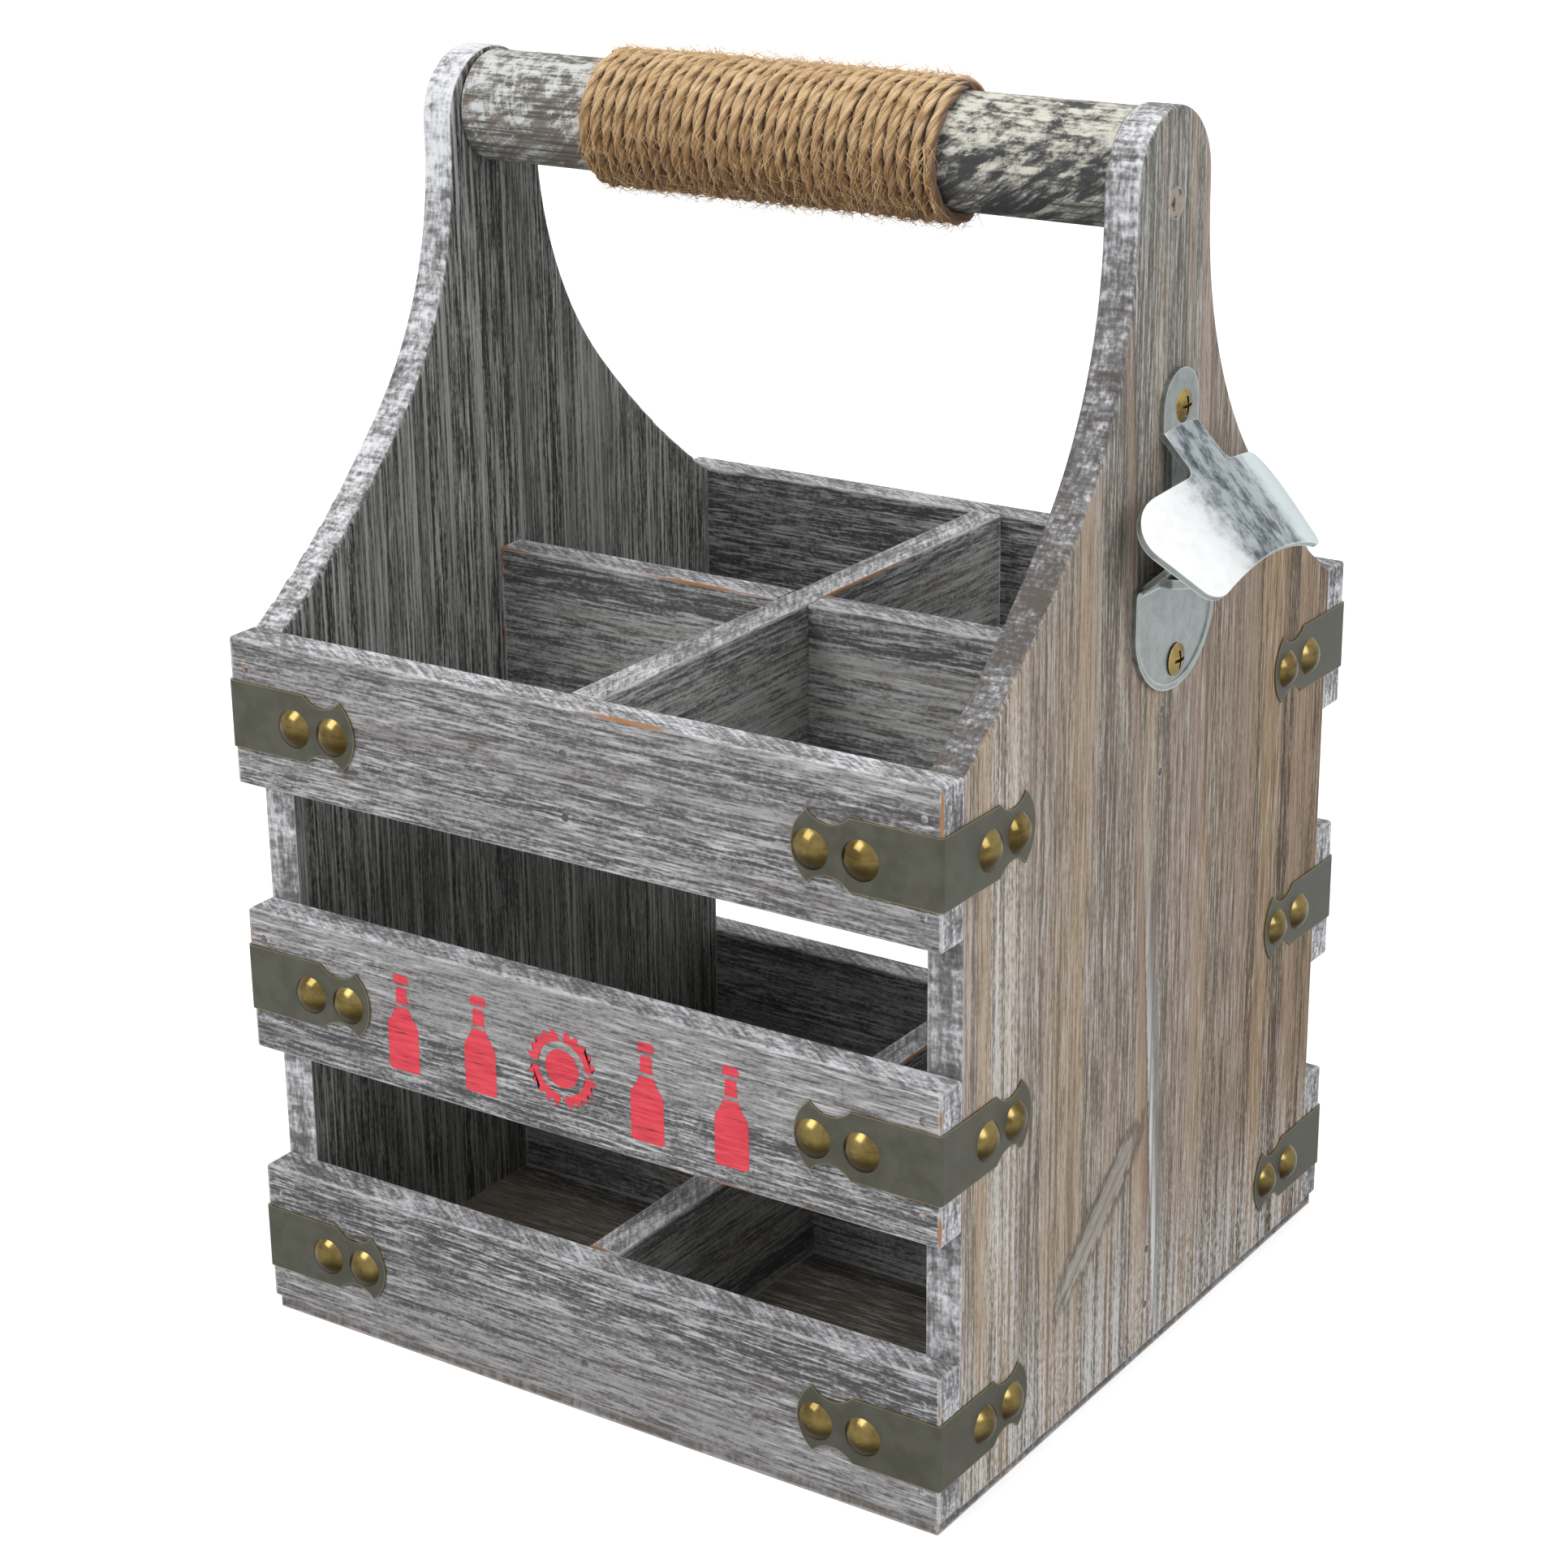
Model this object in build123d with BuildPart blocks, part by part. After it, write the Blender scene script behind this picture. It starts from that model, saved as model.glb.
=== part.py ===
"""A slatted wooden bottle caddy for four bottles, with a rope-wrapped handle and a bottle opener.

Millimetres. X runs along the handle, Y from front to rear, Z up, with the origin in the middle of
the underside. Each piece is a solid of its own and is written to parts/ under its node's name.
"""
from build123d import *
from math import atan2, cos, degrees, hypot, pi, radians, sin, tan
import os

# Boards
caddy_length = 220.0
panel_width = 196.0
board_thickness = 10.0
base_thickness = 3.5
base_inset = 1.0
slat_height = 41.5
slat_gap = 36.0
board_arris = 1.0
board_corner = 0.4
overrun = 1.0

# End panels
total_height = 341.0
neck_half_width = 19.0
scoop_start_drop = 26.0
scoop_radius = 104.0
scoop_turn = 42.3
panel_arris = 1.2

# Dividers
divider_thickness = 10.0
divider_arris = 0.8
lap_clearance = 0.2

# Handle
dowel_radius = 15.0
dowel_top_margin = 1.0
dowel_chamfer = 0.8
rope_diameter = 3.6
rope_clearance = 0.12
rope_pitch = 4.58
rope_turns = 24
rope_start = -59.0
handle_screw_drop = 7.5
handle_screw_length = 40.0
handle_screw_radius = 1.75
handle_screw_head_radius = 3.5
handle_screw_head_depth = 2.6
handle_screw_sink = 1.5
filler_radius = 3.7

# Brads
brad_length = 25.0
base_brad_length = 16.0
brad_radius = 0.7
brad_head_radius = 1.1
brad_head_height = 0.6
brad_sink = 0.2
fastener_clearance = 0.05
slat_brad_spread = 12.5
divider_brad_spread = 8.5

# Corner brackets
bracket_thickness = 0.6
bracket_half_height = 9.4
bracket_bend_radius = 1.0
slat_leg = 42.0
side_leg = 42.5
corner_leg = 14.0
notch_width = 12.0
notch_depth = 2.8
tip_length = 4.6
bracket_height_shares = {"bottom": 0.467, "middle": 0.513, "top": 0.484}
left_nail_shares = (0.51, 0.82)
right_nail_shares = (0.53, 0.87)
side_nail_shares = (0.5, 0.82)

# Dome-headed nails
nail_head_radius = 5.3
nail_head_rise = 2.4
nail_drop = 0.7
nail_shank_radius = 0.7
nail_shank_length = 8.0
nail_tip_length = 1.6

# Bottle opener
opener_offset = 3.0
opener_sheet = 1.6
opener_drop = 64.5
opener_height = 83.5
tab_half_width = 9.2
tab_height = 15.0
neck_run = 17.0
neck_half = 9.0
neck_corner = 3.0
hood_start_reach = 10.6
hood_slope = 46.4
hood_length = 30.3
hood_front_hollow = 4.0
hood_back_half = 39.0
hood_front_half = 29.0
hood_arch_radius = 90.0
hood_depth = 24.0
wing_radius = 9.6
hood_front_corner = 4.8
shield_half_width = 21.2
shield_side_height = 11.5
shield_round_height = 19.0
shield_side_radius = 16.0
shield_corner = 1.8
shield_rim = 1.6
shield_dish = 0.4
ramp_half_width = 19.5
ramp_length = 14.5
ramp_slope = 42.0
ramp_corner = 4.0
tooth_half_width = 13.0
tooth_reach = 11.0
tooth_corner = 5.0
tooth_thickness = 2.4
spine_half_width = 4.0
opener_screw_head_radius = 4.4
opener_screw_rise = 1.2
opener_screw_radius = 1.8
opener_screw_length = 11.5
opener_screw_tip = 2.0
opener_screw_offset = 1.2
upper_screw_drop = 9.8
lower_screw_rise = 7.3
recess_length = 5.0
recess_width = 0.9
recess_depth = 1.3

# Places worked out from the sizes above
half_length = caddy_length / 2
inner_half_length = half_length - board_thickness
half_width = panel_width / 2
outer_half_width = half_width + board_thickness
slat_pitch = slat_height + slat_gap
levels = {"bottom": base_thickness, "middle": base_thickness + slat_pitch,
          "top": base_thickness + 2 * slat_pitch}
shoulder_height = levels["top"] + slat_height
arch_height = total_height - neck_half_width
dowel_height = total_height - dowel_top_margin - dowel_radius
handle_screw_height = dowel_height - handle_screw_drop
tab_top = total_height - opener_drop
tab_bottom = tab_top - tab_height
shield_bottom = tab_top - opener_height
shield_shoulder = shield_bottom + shield_round_height
shield_top = shield_shoulder + shield_side_height
upper_screw_height = tab_top - upper_screw_drop
lower_screw_height = shield_bottom + lower_screw_rise
slope = radians(hood_slope)
hood_start_height = tab_bottom + opener_sheet / cos(slope) - hood_start_reach * tan(slope)
sides = {"left": -1, "right": 1}
rows = {"front": -1, "rear": 1}

os.makedirs("parts", exist_ok=True)


def save(builder, name):
    """Label a finished piece and write it as one STEP file."""
    builder.part.label = name
    export_step(builder.part, "parts/" + name + ".step")


def facing(axis, sign):
    """The turn that points a fastener's head along X or Y, in the given direction."""
    return (0, 90 * sign, 0) if axis == "x" else (-90 * sign, 0, 0)


def brad(length, clearance=0.0):
    """A headed brad with its head's top at the origin and its shank down the Z axis."""
    with BuildPart() as piece:
        with BuildSketch(Plane.XZ):
            with BuildLine():
                Polyline((0, 0), (brad_head_radius + clearance, 0),
                         (brad_head_radius + clearance, -brad_head_height - clearance),
                         (brad_radius + clearance, -brad_head_height - clearance),
                         (brad_radius + clearance, -length - clearance),
                         (0, -length - clearance), close=True)
            make_face()
        revolve(axis=Axis.Z)
        if clearance:
            with BuildSketch(Plane.XY):
                Circle(brad_head_radius + clearance)
            extrude(amount=overrun)
    return piece.part


def dome_nail(clearance=0.0):
    """A dome-headed nail, seated at the origin with its shank down the Z axis."""
    shank = nail_shank_radius + clearance
    with BuildPart() as piece:
        with BuildSketch(Plane.XZ):
            with BuildLine():
                TangentArc((0, nail_head_rise), (nail_head_radius, 0), tangent=(1, 0))
                Polyline((nail_head_radius, 0), (shank, 0),
                         (shank, nail_tip_length - nail_shank_length),
                         (0, -nail_shank_length - clearance), (0, nail_head_rise))
            make_face()
        revolve(axis=Axis.Z)
    return piece.part


def countersunk_screw(head, shank, cone, length, tip):
    """A flat countersunk screw with its head's top at the origin and its shank down the Z axis."""
    with BuildPart() as piece:
        with BuildSketch(Plane.XZ):
            with BuildLine():
                Polyline((0, 0), (head, 0), (shank, -cone), (shank, tip - length), (0, -length),
                         close=True)
            make_face()
        revolve(axis=Axis.Z)
    return piece.part


def places(axis, sign, face, spots, sink=0.0):
    """Locations on a face: spots hold the place along the face and the height."""
    depth = sign * (face - sink)
    if axis == "x":
        return [Location((depth, along, height), facing(axis, sign)) for along, height in spots]
    return [Location((along, depth, height), facing(axis, sign)) for along, height in spots]


def slat_brad_places(row):
    """The brads through one row's slat ends into the panels' edges."""
    spots = []
    for bottom in levels.values():
        for side in sides.values():
            for up in (-1, 1):
                along = side * (half_length - board_thickness / 2)
                spots.append((along, bottom + slat_height / 2 + up * slat_brad_spread))
    return places("y", row, outer_half_width, spots, brad_sink)


def divider_brad_spots():
    """The heights of the brads into the divider ends, in line with the divider's middle."""
    spots = []
    for level in ("bottom", "top"):
        for up in (-1, 1):
            spots.append((0, levels[level] + slat_height / 2 + up * divider_brad_spread))
    return spots


def cross_divider_brad_places(row):
    return places("y", row, outer_half_width, divider_brad_spots(), brad_sink)


def long_divider_brad_places(side):
    return places("x", side, half_length, divider_brad_spots(), brad_sink)


def base_brad_places():
    """The brads up through the base board into slats, panels and dividers."""
    slat_line = outer_half_width - board_thickness / 2
    panel_line = half_length - board_thickness / 2
    along = inner_half_length / 2
    spots = [(x, y) for x in (-along, along) for y in (-slat_line, 0, slat_line)]
    spots += [(x, y) for x in (-panel_line, 0, panel_line) for y in (-along, along)]
    return [Location((x, y, brad_sink), (180, 0, 0)) for x, y in spots]


def bracket_height(level):
    return levels[level] + bracket_height_shares[level] * slat_height


def bracket_nail_places(side, row, level):
    """The four nails of one corner bracket: two in the slat, two in the panel."""
    height = bracket_height(level) - nail_drop
    slat_shares = left_nail_shares if side < 0 else right_nail_shares
    slat_spots = [(side * (half_length - share * slat_leg), height) for share in slat_shares]
    side_spots = [(row * (outer_half_width - share * side_leg), height) for share in side_nail_shares]
    slat_nails = places("y", row, outer_half_width + bracket_thickness, slat_spots)
    return slat_nails + places("x", side, half_length + bracket_thickness, side_spots)


def handle_screw_place(side):
    depth = side * (half_length - handle_screw_sink)
    return Location((depth, 0, handle_screw_height), facing("x", side))


brad_hole = brad(brad_length, fastener_clearance)
base_brad_hole = brad(base_brad_length, fastener_clearance)
nail_hole = dome_nail(fastener_clearance)
handle_screw_hole = countersunk_screw(handle_screw_head_radius + fastener_clearance,
                                      handle_screw_radius + fastener_clearance,
                                      handle_screw_head_depth, handle_screw_length + fastener_clearance,
                                      handle_screw_radius)

# The opener's screw: an oval countersunk head whose cone is as deep as the sheet
with BuildPart() as opener_screw_hole:
    with BuildSketch(Plane.XZ):
        with BuildLine():
            Polyline((0, overrun), (opener_screw_head_radius + fastener_clearance, overrun),
                     (opener_screw_head_radius + fastener_clearance, 0),
                     (opener_screw_radius + fastener_clearance, -opener_sheet),
                     (opener_screw_radius + fastener_clearance, -opener_screw_length),
                     (0, -opener_screw_length - fastener_clearance), close=True)
        make_face()
    revolve(axis=Axis.Z)


def opener_screw_place(height):
    across = opener_offset + opener_screw_offset
    return Location((half_length + opener_sheet, across, height), facing("x", 1))


# End panels: a board with a scooped shoulder and a round-topped neck
for side_name, side in sides.items():
    with BuildPart() as end_panel:
        with BuildSketch(Plane.YZ.offset(side * (inner_half_length + board_thickness / 2))):
            with BuildLine():
                Line((0, base_thickness), (half_width, base_thickness))
                Line((half_width, base_thickness), (half_width, shoulder_height))
                scoop_start = (neck_half_width, total_height - scoop_start_drop)
                upper_scoop = JernArc(scoop_start, (0, -1), scoop_radius, scoop_turn)
                TangentArc(upper_scoop @ 1, (half_width, shoulder_height), tangent=upper_scoop % 1)
                Line(scoop_start, (neck_half_width, arch_height))
                CenterArc((0, arch_height), neck_half_width, 0, 90)
                mirror(about=Plane.YZ)
            make_face()
        extrude(amount=board_thickness / 2, both=True)
        rim = end_panel.faces().filter_by(Axis.X).edges()
        fillet(rim.filter_by_position(Axis.Z, shoulder_height, total_height, (False, True)), panel_arris)
        for row in rows.values():
            with Locations(*slat_brad_places(row)):
                add(brad_hole, mode=Mode.SUBTRACT)
            for level in levels:
                with Locations(*bracket_nail_places(side, row, level)):
                    add(nail_hole, mode=Mode.SUBTRACT)
        with Locations(*long_divider_brad_places(side)):
            add(brad_hole, mode=Mode.SUBTRACT)
        with Locations(*base_brad_places()):
            add(base_brad_hole, mode=Mode.SUBTRACT)
        with Locations(handle_screw_place(side)):
            add(handle_screw_hole, mode=Mode.SUBTRACT)
            Cylinder(filler_radius, handle_screw_sink + overrun,
                     align=(Align.CENTER, Align.CENTER, Align.MIN), mode=Mode.SUBTRACT)
        if side_name == "right":
            with Locations(opener_screw_place(upper_screw_height), opener_screw_place(lower_screw_height)):
                add(opener_screw_hole.part, mode=Mode.SUBTRACT)
    save(end_panel, side_name + "_end_panel")

    with BuildPart() as handle_screw:
        with Locations(handle_screw_place(side)):
            add(countersunk_screw(handle_screw_head_radius, handle_screw_radius, handle_screw_head_depth,
                                  handle_screw_length, handle_screw_radius))
    save(handle_screw, side_name + "_handle_screw")

    with BuildPart() as screw_filler:
        with Locations(handle_screw_place(side)):
            Cylinder(filler_radius, handle_screw_sink, align=(Align.CENTER, Align.CENTER, Align.MIN))
    save(screw_filler, side_name + "_screw_filler")

# Base board
with BuildPart() as base_board:
    with BuildSketch(Plane.XY):
        Rectangle(caddy_length - 2 * base_inset, 2 * (outer_half_width - base_inset))
    extrude(amount=base_thickness)
    fillet(base_board.edges().filter_by(Axis.Z), board_corner)
    with Locations(*base_brad_places()):
        add(base_brad_hole, mode=Mode.SUBTRACT)
save(base_board, "base_board")

with BuildPart() as base_brads:
    with Locations(*base_brad_places()):
        add(brad(base_brad_length))
save(base_brads, "base_brads")

# Slats, three in front and three behind
for row_name, row in rows.items():
    for level, bottom in levels.items():
        with BuildPart() as slat:
            with BuildSketch(Plane.XY.offset(bottom)):
                with Locations((0, row * (half_width + board_thickness / 2))):
                    Rectangle(caddy_length, board_thickness)
            extrude(amount=slat_height)
            fillet(slat.edges().filter_by(Axis.Z), board_corner)
            outer_face = slat.faces().filter_by(Axis.Y).sort_by(Axis.Y)[0 if row < 0 else -1]
            fillet(outer_face.edges().filter_by(Axis.X), board_arris)
            with Locations(*slat_brad_places(row)):
                add(brad_hole, mode=Mode.SUBTRACT)
            for side in sides.values():
                with Locations(*bracket_nail_places(side, row, level)):
                    add(nail_hole, mode=Mode.SUBTRACT)
            if level != "middle":
                with Locations(*cross_divider_brad_places(row)):
                    add(brad_hole, mode=Mode.SUBTRACT)
            if level == "bottom":
                with Locations(*base_brad_places()):
                    add(base_brad_hole, mode=Mode.SUBTRACT)
        save(slat, row_name + "_" + level + "_slat")

    with BuildPart() as slat_brads:
        with Locations(*slat_brad_places(row)):
            add(brad(brad_length))
    save(slat_brads, row_name + "_slat_brads")

# Dividers, half-lapped where they cross: the long one's notch is in its top half
for level_name, level in (("upper", "top"), ("lower", "bottom")):
    bottom = levels[level]
    lap_width = divider_thickness + 2 * lap_clearance
    lap_depth = slat_height / 2 + lap_clearance

    with BuildPart() as long_divider:
        with BuildSketch(Plane.XY.offset(bottom)):
            Rectangle(2 * inner_half_length, divider_thickness)
        extrude(amount=slat_height)
        top_face = long_divider.faces().sort_by(Axis.Z)[-1]
        fillet(top_face.edges().filter_by(Axis.X), divider_arris)
        with BuildSketch(Plane.XY.offset(bottom + slat_height - lap_depth)):
            Rectangle(lap_width, divider_thickness + 2 * overrun)
        extrude(amount=lap_depth + overrun, mode=Mode.SUBTRACT)
        for side in sides.values():
            with Locations(*long_divider_brad_places(side)):
                add(brad_hole, mode=Mode.SUBTRACT)
        if level == "bottom":
            with Locations(*base_brad_places()):
                add(base_brad_hole, mode=Mode.SUBTRACT)
    save(long_divider, level_name + "_long_divider")

    with BuildPart() as cross_divider:
        with BuildSketch(Plane.XY.offset(bottom)):
            Rectangle(divider_thickness, panel_width)
        extrude(amount=slat_height)
        top_face = cross_divider.faces().sort_by(Axis.Z)[-1]
        fillet(top_face.edges().filter_by(Axis.Y), divider_arris)
        with BuildSketch(Plane.XY.offset(bottom - overrun)):
            Rectangle(divider_thickness + 2 * overrun, lap_width)
        extrude(amount=lap_depth + overrun, mode=Mode.SUBTRACT)
        for row in rows.values():
            with Locations(*cross_divider_brad_places(row)):
                add(brad_hole, mode=Mode.SUBTRACT)
        if level == "bottom":
            with Locations(*base_brad_places()):
                add(base_brad_hole, mode=Mode.SUBTRACT)
    save(cross_divider, level_name + "_cross_divider")

with BuildPart() as long_divider_brads:
    for side in sides.values():
        with Locations(*long_divider_brad_places(side)):
            add(brad(brad_length))
save(long_divider_brads, "long_divider_brads")

with BuildPart() as cross_divider_brads:
    for row in rows.values():
        with Locations(*cross_divider_brad_places(row)):
            add(brad(brad_length))
save(cross_divider_brads, "cross_divider_brads")


def bracket_leg(plane, leg):
    """The outline of a corner bracket's leg: a band with a notch above and below and a bowed end."""
    notch_end = leg - tip_length
    notch_start = notch_end - notch_width
    notch_middle = notch_end - notch_width / 2
    dip = bracket_half_height - notch_depth
    with BuildSketch(plane) as outline:
        with BuildLine():
            Line((corner_leg / 2, 0), (corner_leg / 2, bracket_half_height))
            Line((corner_leg / 2, bracket_half_height), (notch_start, bracket_half_height))
            ThreePointArc((notch_start, bracket_half_height), (notch_middle, dip),
                          (notch_end, bracket_half_height))
            TangentArc((leg, 0), (notch_end, bracket_half_height), tangent=(0, 1))
            mirror(about=Plane.XZ)
        make_face()
    return outline.sketch


# Corner brackets and their nails
for row_name, row in rows.items():
    for side_name, side in sides.items():
        for level in levels:
            name = row_name + "_" + side_name + "_" + level + "_bracket"
            height = bracket_height(level)
            corner_x = side * half_length
            corner_y = row * outer_half_width
            outer_x = corner_x + side * bracket_thickness
            outer_y = corner_y + row * bracket_thickness
            with BuildPart() as bracket:
                with BuildSketch(Plane.XY.offset(height - bracket_half_height)):
                    with BuildLine():
                        Polyline((corner_x - side * corner_leg, outer_y), (outer_x, outer_y),
                                 (outer_x, corner_y - row * corner_leg),
                                 (corner_x, corner_y - row * corner_leg), (corner_x, corner_y),
                                 (corner_x - side * corner_leg, corner_y), close=True)
                    make_face()
                extrude(amount=2 * bracket_half_height)
                bend = bracket.edges().filter_by(Axis.Z)
                bend = bend.sort_by(lambda edge: edge.center().X * side + edge.center().Y * row)
                fillet(bend[-1], bracket_bend_radius)
                bend = bracket.edges().filter_by(Axis.Z)
                inner = bend.sort_by(lambda edge: hypot(edge.center().X - corner_x,
                                                        edge.center().Y - corner_y))[0]
                fillet(inner, bracket_bend_radius - bracket_thickness)
                slat_face = Plane((corner_x, corner_y, height), (-side, 0, 0), (0, row, 0))
                side_face = Plane((corner_x, corner_y, height), (0, -row, 0), (side, 0, 0))
                extrude(bracket_leg(slat_face, slat_leg), amount=bracket_thickness)
                extrude(bracket_leg(side_face, side_leg), amount=bracket_thickness)
                with Locations(*bracket_nail_places(side, row, level)):
                    Cylinder(nail_shank_radius + fastener_clearance, 2 * bracket_thickness + overrun,
                             mode=Mode.SUBTRACT)
            save(bracket, name)

            with BuildPart() as bracket_nails:
                with Locations(*bracket_nail_places(side, row, level)):
                    add(dome_nail())
            save(bracket_nails, name + "_nails")

# Handle dowel
with BuildPart() as handle_dowel:
    with BuildSketch(Plane.YZ.offset(-inner_half_length)):
        with Locations((0, dowel_height)):
            Circle(dowel_radius)
    extrude(amount=2 * inner_half_length)
    chamfer(handle_dowel.edges().filter_by(GeomType.CIRCLE), dowel_chamfer)
    for side in sides.values():
        with Locations(handle_screw_place(side)):
            add(handle_screw_hole, mode=Mode.SUBTRACT)
save(handle_dowel, "handle_dowel")

# Rope wrap: one helix of arcs, two to each half turn, that runs straight off the dowel at its ends
rope_radius = dowel_radius + rope_clearance + rope_diameter / 2
helix_slope = atan2(rope_pitch, 2 * pi * rope_radius)


def rope_point(turn):
    angle = 2 * pi * turn
    return Vector(rope_start + turn * rope_pitch, rope_radius * sin(angle),
                  dowel_height + rope_radius * cos(angle))


def rope_direction(turn):
    angle = 2 * pi * turn
    return Vector(sin(helix_slope), cos(helix_slope) * cos(angle), -cos(helix_slope) * sin(angle))


def biarc_reach(start, start_way, end, end_way):
    """The length of the control arms that makes both arcs of a biarc meet in one tangent."""
    span = end - start
    ways = start_way + end_way
    square = 4 - ways.dot(ways)
    linear = 2 * span.dot(ways)
    constant = span.dot(span)
    return (-linear + (linear ** 2 + 4 * square * constant) ** 0.5) / (2 * square)


half_turn = 0.5
route_turns = [half_turn * count for count in range(2 * rope_turns + 1)]
with BuildLine() as rope_route:
    Line(rope_point(0) - rope_direction(0) * rope_diameter, rope_point(0))
    for turn in route_turns[:-1]:
        start, end = rope_point(turn), rope_point(turn + half_turn)
        start_way, end_way = rope_direction(turn), rope_direction(turn + half_turn)
        reach = biarc_reach(start, start_way, end, end_way)
        near, far = start + start_way * reach, end - end_way * reach
        joint = (near + far) / 2
        TangentArc(start, joint, tangent=start_way)
        TangentArc(joint, end, tangent=far - near)
    Line(rope_point(rope_turns), rope_point(rope_turns) + rope_direction(rope_turns) * rope_diameter)

with BuildPart() as handle_rope_wrap:
    with BuildSketch(Plane(rope_route.line @ 0, z_dir=rope_route.line % 0)):
        Circle(rope_diameter / 2)
    sweep(path=rope_route.line)
save(handle_rope_wrap, "handle_rope_wrap")

# The least gap between turns, measured on points along the route
route_edges = rope_route.line.edges()
point_shares = (0, 0.25, 0.5, 0.75)
route_points = [edge @ share for edge in route_edges for share in point_shares]
points_per_turn = 4 * len(point_shares)
gaps = []
for index, point in enumerate(route_points):
    for other in route_points[index + points_per_turn // 2:index + 2 * points_per_turn]:
        gaps.append((point - other).length - rope_diameter)
print("least gap between the rope's turns: %.2f mm" % min(gaps))
arc_radii = [edge.radius for edge in route_edges.filter_by(GeomType.CIRCLE)]
print("rope arc radii: %.2f to %.2f mm" % (min(arc_radii), max(arc_radii)))

# Bottle opener: one pressed sheet with a tab, an arched hood, a shield, a ramp and a tooth
wall_plane = Plane((half_length, opener_offset, 0), x_dir=(0, 1, 0), z_dir=(1, 0, 0))
hood_way = Vector(cos(slope), 0, -sin(slope))
hood_start = Vector(half_length + hood_start_reach, opener_offset, hood_start_height)
hood_plane = Plane(hood_start, x_dir=hood_way, z_dir=(sin(slope), 0, cos(slope)))
arch_plane = Plane(hood_start - hood_way * neck_run, x_dir=hood_plane.y_dir, z_dir=hood_way)
rise = radians(ramp_slope)
ramp_start = Vector(half_length + opener_sheet / 2, opener_offset, shield_top - opener_sheet / 2)
ramp_plane = Plane(ramp_start, x_dir=(0, -1, 0), z_dir=(-sin(rise), 0, cos(rise)))
tooth_plane = Plane((half_length, opener_offset, shield_top), x_dir=(1, 0, 0), z_dir=(0, 0, 1))


def shield_sketch(plane, inset=0.0):
    """The shield's outline: square shoulders over a flat half-oval of arcs, drawn in by an inset."""
    across = shield_half_width - shield_side_radius
    squares = across ** 2 + shield_round_height ** 2 - shield_side_radius ** 2
    bottom_radius = squares / (2 * (shield_round_height - shield_side_radius))
    side_turn = degrees(atan2(bottom_radius - shield_round_height, across))
    with BuildSketch(plane) as sketch:
        with BuildLine():
            Line((0, shield_top), (shield_half_width, shield_top))
            Line((shield_half_width, shield_top), (shield_half_width, shield_shoulder))
            flank = JernArc((shield_half_width, shield_shoulder), (0, -1), shield_side_radius, -side_turn)
            TangentArc(flank @ 1, (0, shield_bottom), tangent=flank % 1)
            mirror(about=Plane.YZ)
        make_face()
        fillet(sketch.vertices().group_by(Axis.Y)[-1], shield_corner)
        if inset:
            offset(amount=-inset)
    return sketch.sketch


with BuildPart() as bottle_opener:
    # Arched hood with a hollow front edge, and its neck, cut to their outline from a tube's wall
    with BuildSketch(hood_plane) as hood_outline:
        with BuildLine():
            Polyline((hood_length, hood_front_half), (0, hood_back_half), (0, neck_half),
                     (-neck_run, neck_half), (-neck_run, -neck_half), (0, -neck_half),
                     (0, -hood_back_half), (hood_length, -hood_front_half))
            ThreePointArc((hood_length, -hood_front_half), (hood_length - hood_front_hollow, 0),
                          (hood_length, hood_front_half))
        make_face()
        fillet(hood_outline.vertices().group_by(Axis.X)[-1], hood_front_corner)
        back_corners = hood_outline.vertices().group_by(Axis.X)[1].sort_by(Axis.Y)
        fillet(back_corners[1:3], neck_corner)
        wing_corners = hood_outline.vertices().group_by(Axis.Y)
        fillet(wing_corners[0] + wing_corners[-1], wing_radius)
    extrude(amount=-hood_depth)
    with BuildSketch(arch_plane):
        with Locations((0, -hood_arch_radius)):
            Circle(hood_arch_radius)
            Circle(hood_arch_radius - opener_sheet, mode=Mode.SUBTRACT)
    extrude(amount=neck_run + hood_length + overrun, mode=Mode.INTERSECT)
    # The wall behind the neck
    with BuildSketch(wall_plane):
        with Locations((0, tab_top)):
            Rectangle(hood_back_half, 2 * hood_depth)
    extrude(amount=-neck_run, mode=Mode.SUBTRACT)
    # Shield with a raised rim, and its dished face
    extrude(shield_sketch(wall_plane), amount=opener_sheet)
    shield_face = wall_plane.offset(opener_sheet)
    extrude(shield_sketch(shield_face, shield_rim), amount=-shield_dish, mode=Mode.SUBTRACT)
    # Tab, and the narrow spine behind the hood that joins it to the shield
    with BuildSketch(wall_plane):
        with BuildLine():
            Line((0, tab_bottom), (tab_half_width, tab_bottom))
            Line((tab_half_width, tab_bottom), (tab_half_width, tab_top - tab_half_width))
            CenterArc((0, tab_top - tab_half_width), tab_half_width, 0, 90)
            mirror(about=Plane.YZ)
        make_face()
        with Locations((0, (shield_top + tab_bottom) / 2)):
            Rectangle(2 * spine_half_width, tab_bottom - shield_top + 2 * opener_sheet)
    extrude(amount=opener_sheet)
    # Ramp that leans out of the shield's top, and the tooth that catches a cap's edge
    with BuildSketch(ramp_plane) as ramp_outline:
        Rectangle(2 * ramp_half_width, ramp_length, align=(Align.CENTER, Align.MIN))
        fillet(ramp_outline.vertices().group_by(Axis.Z)[-1], ramp_corner)
    extrude(amount=opener_sheet / 2, both=True)
    with BuildSketch(tooth_plane) as tooth_outline:
        Rectangle(tooth_reach, 2 * tooth_half_width, align=(Align.MIN, Align.CENTER))
        fillet(tooth_outline.vertices().group_by(Axis.X)[-1], tooth_corner)
    extrude(amount=tooth_thickness)
    with Locations(opener_screw_place(upper_screw_height), opener_screw_place(lower_screw_height)):
        add(opener_screw_hole.part, mode=Mode.SUBTRACT)
save(bottle_opener, "bottle_opener")

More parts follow.
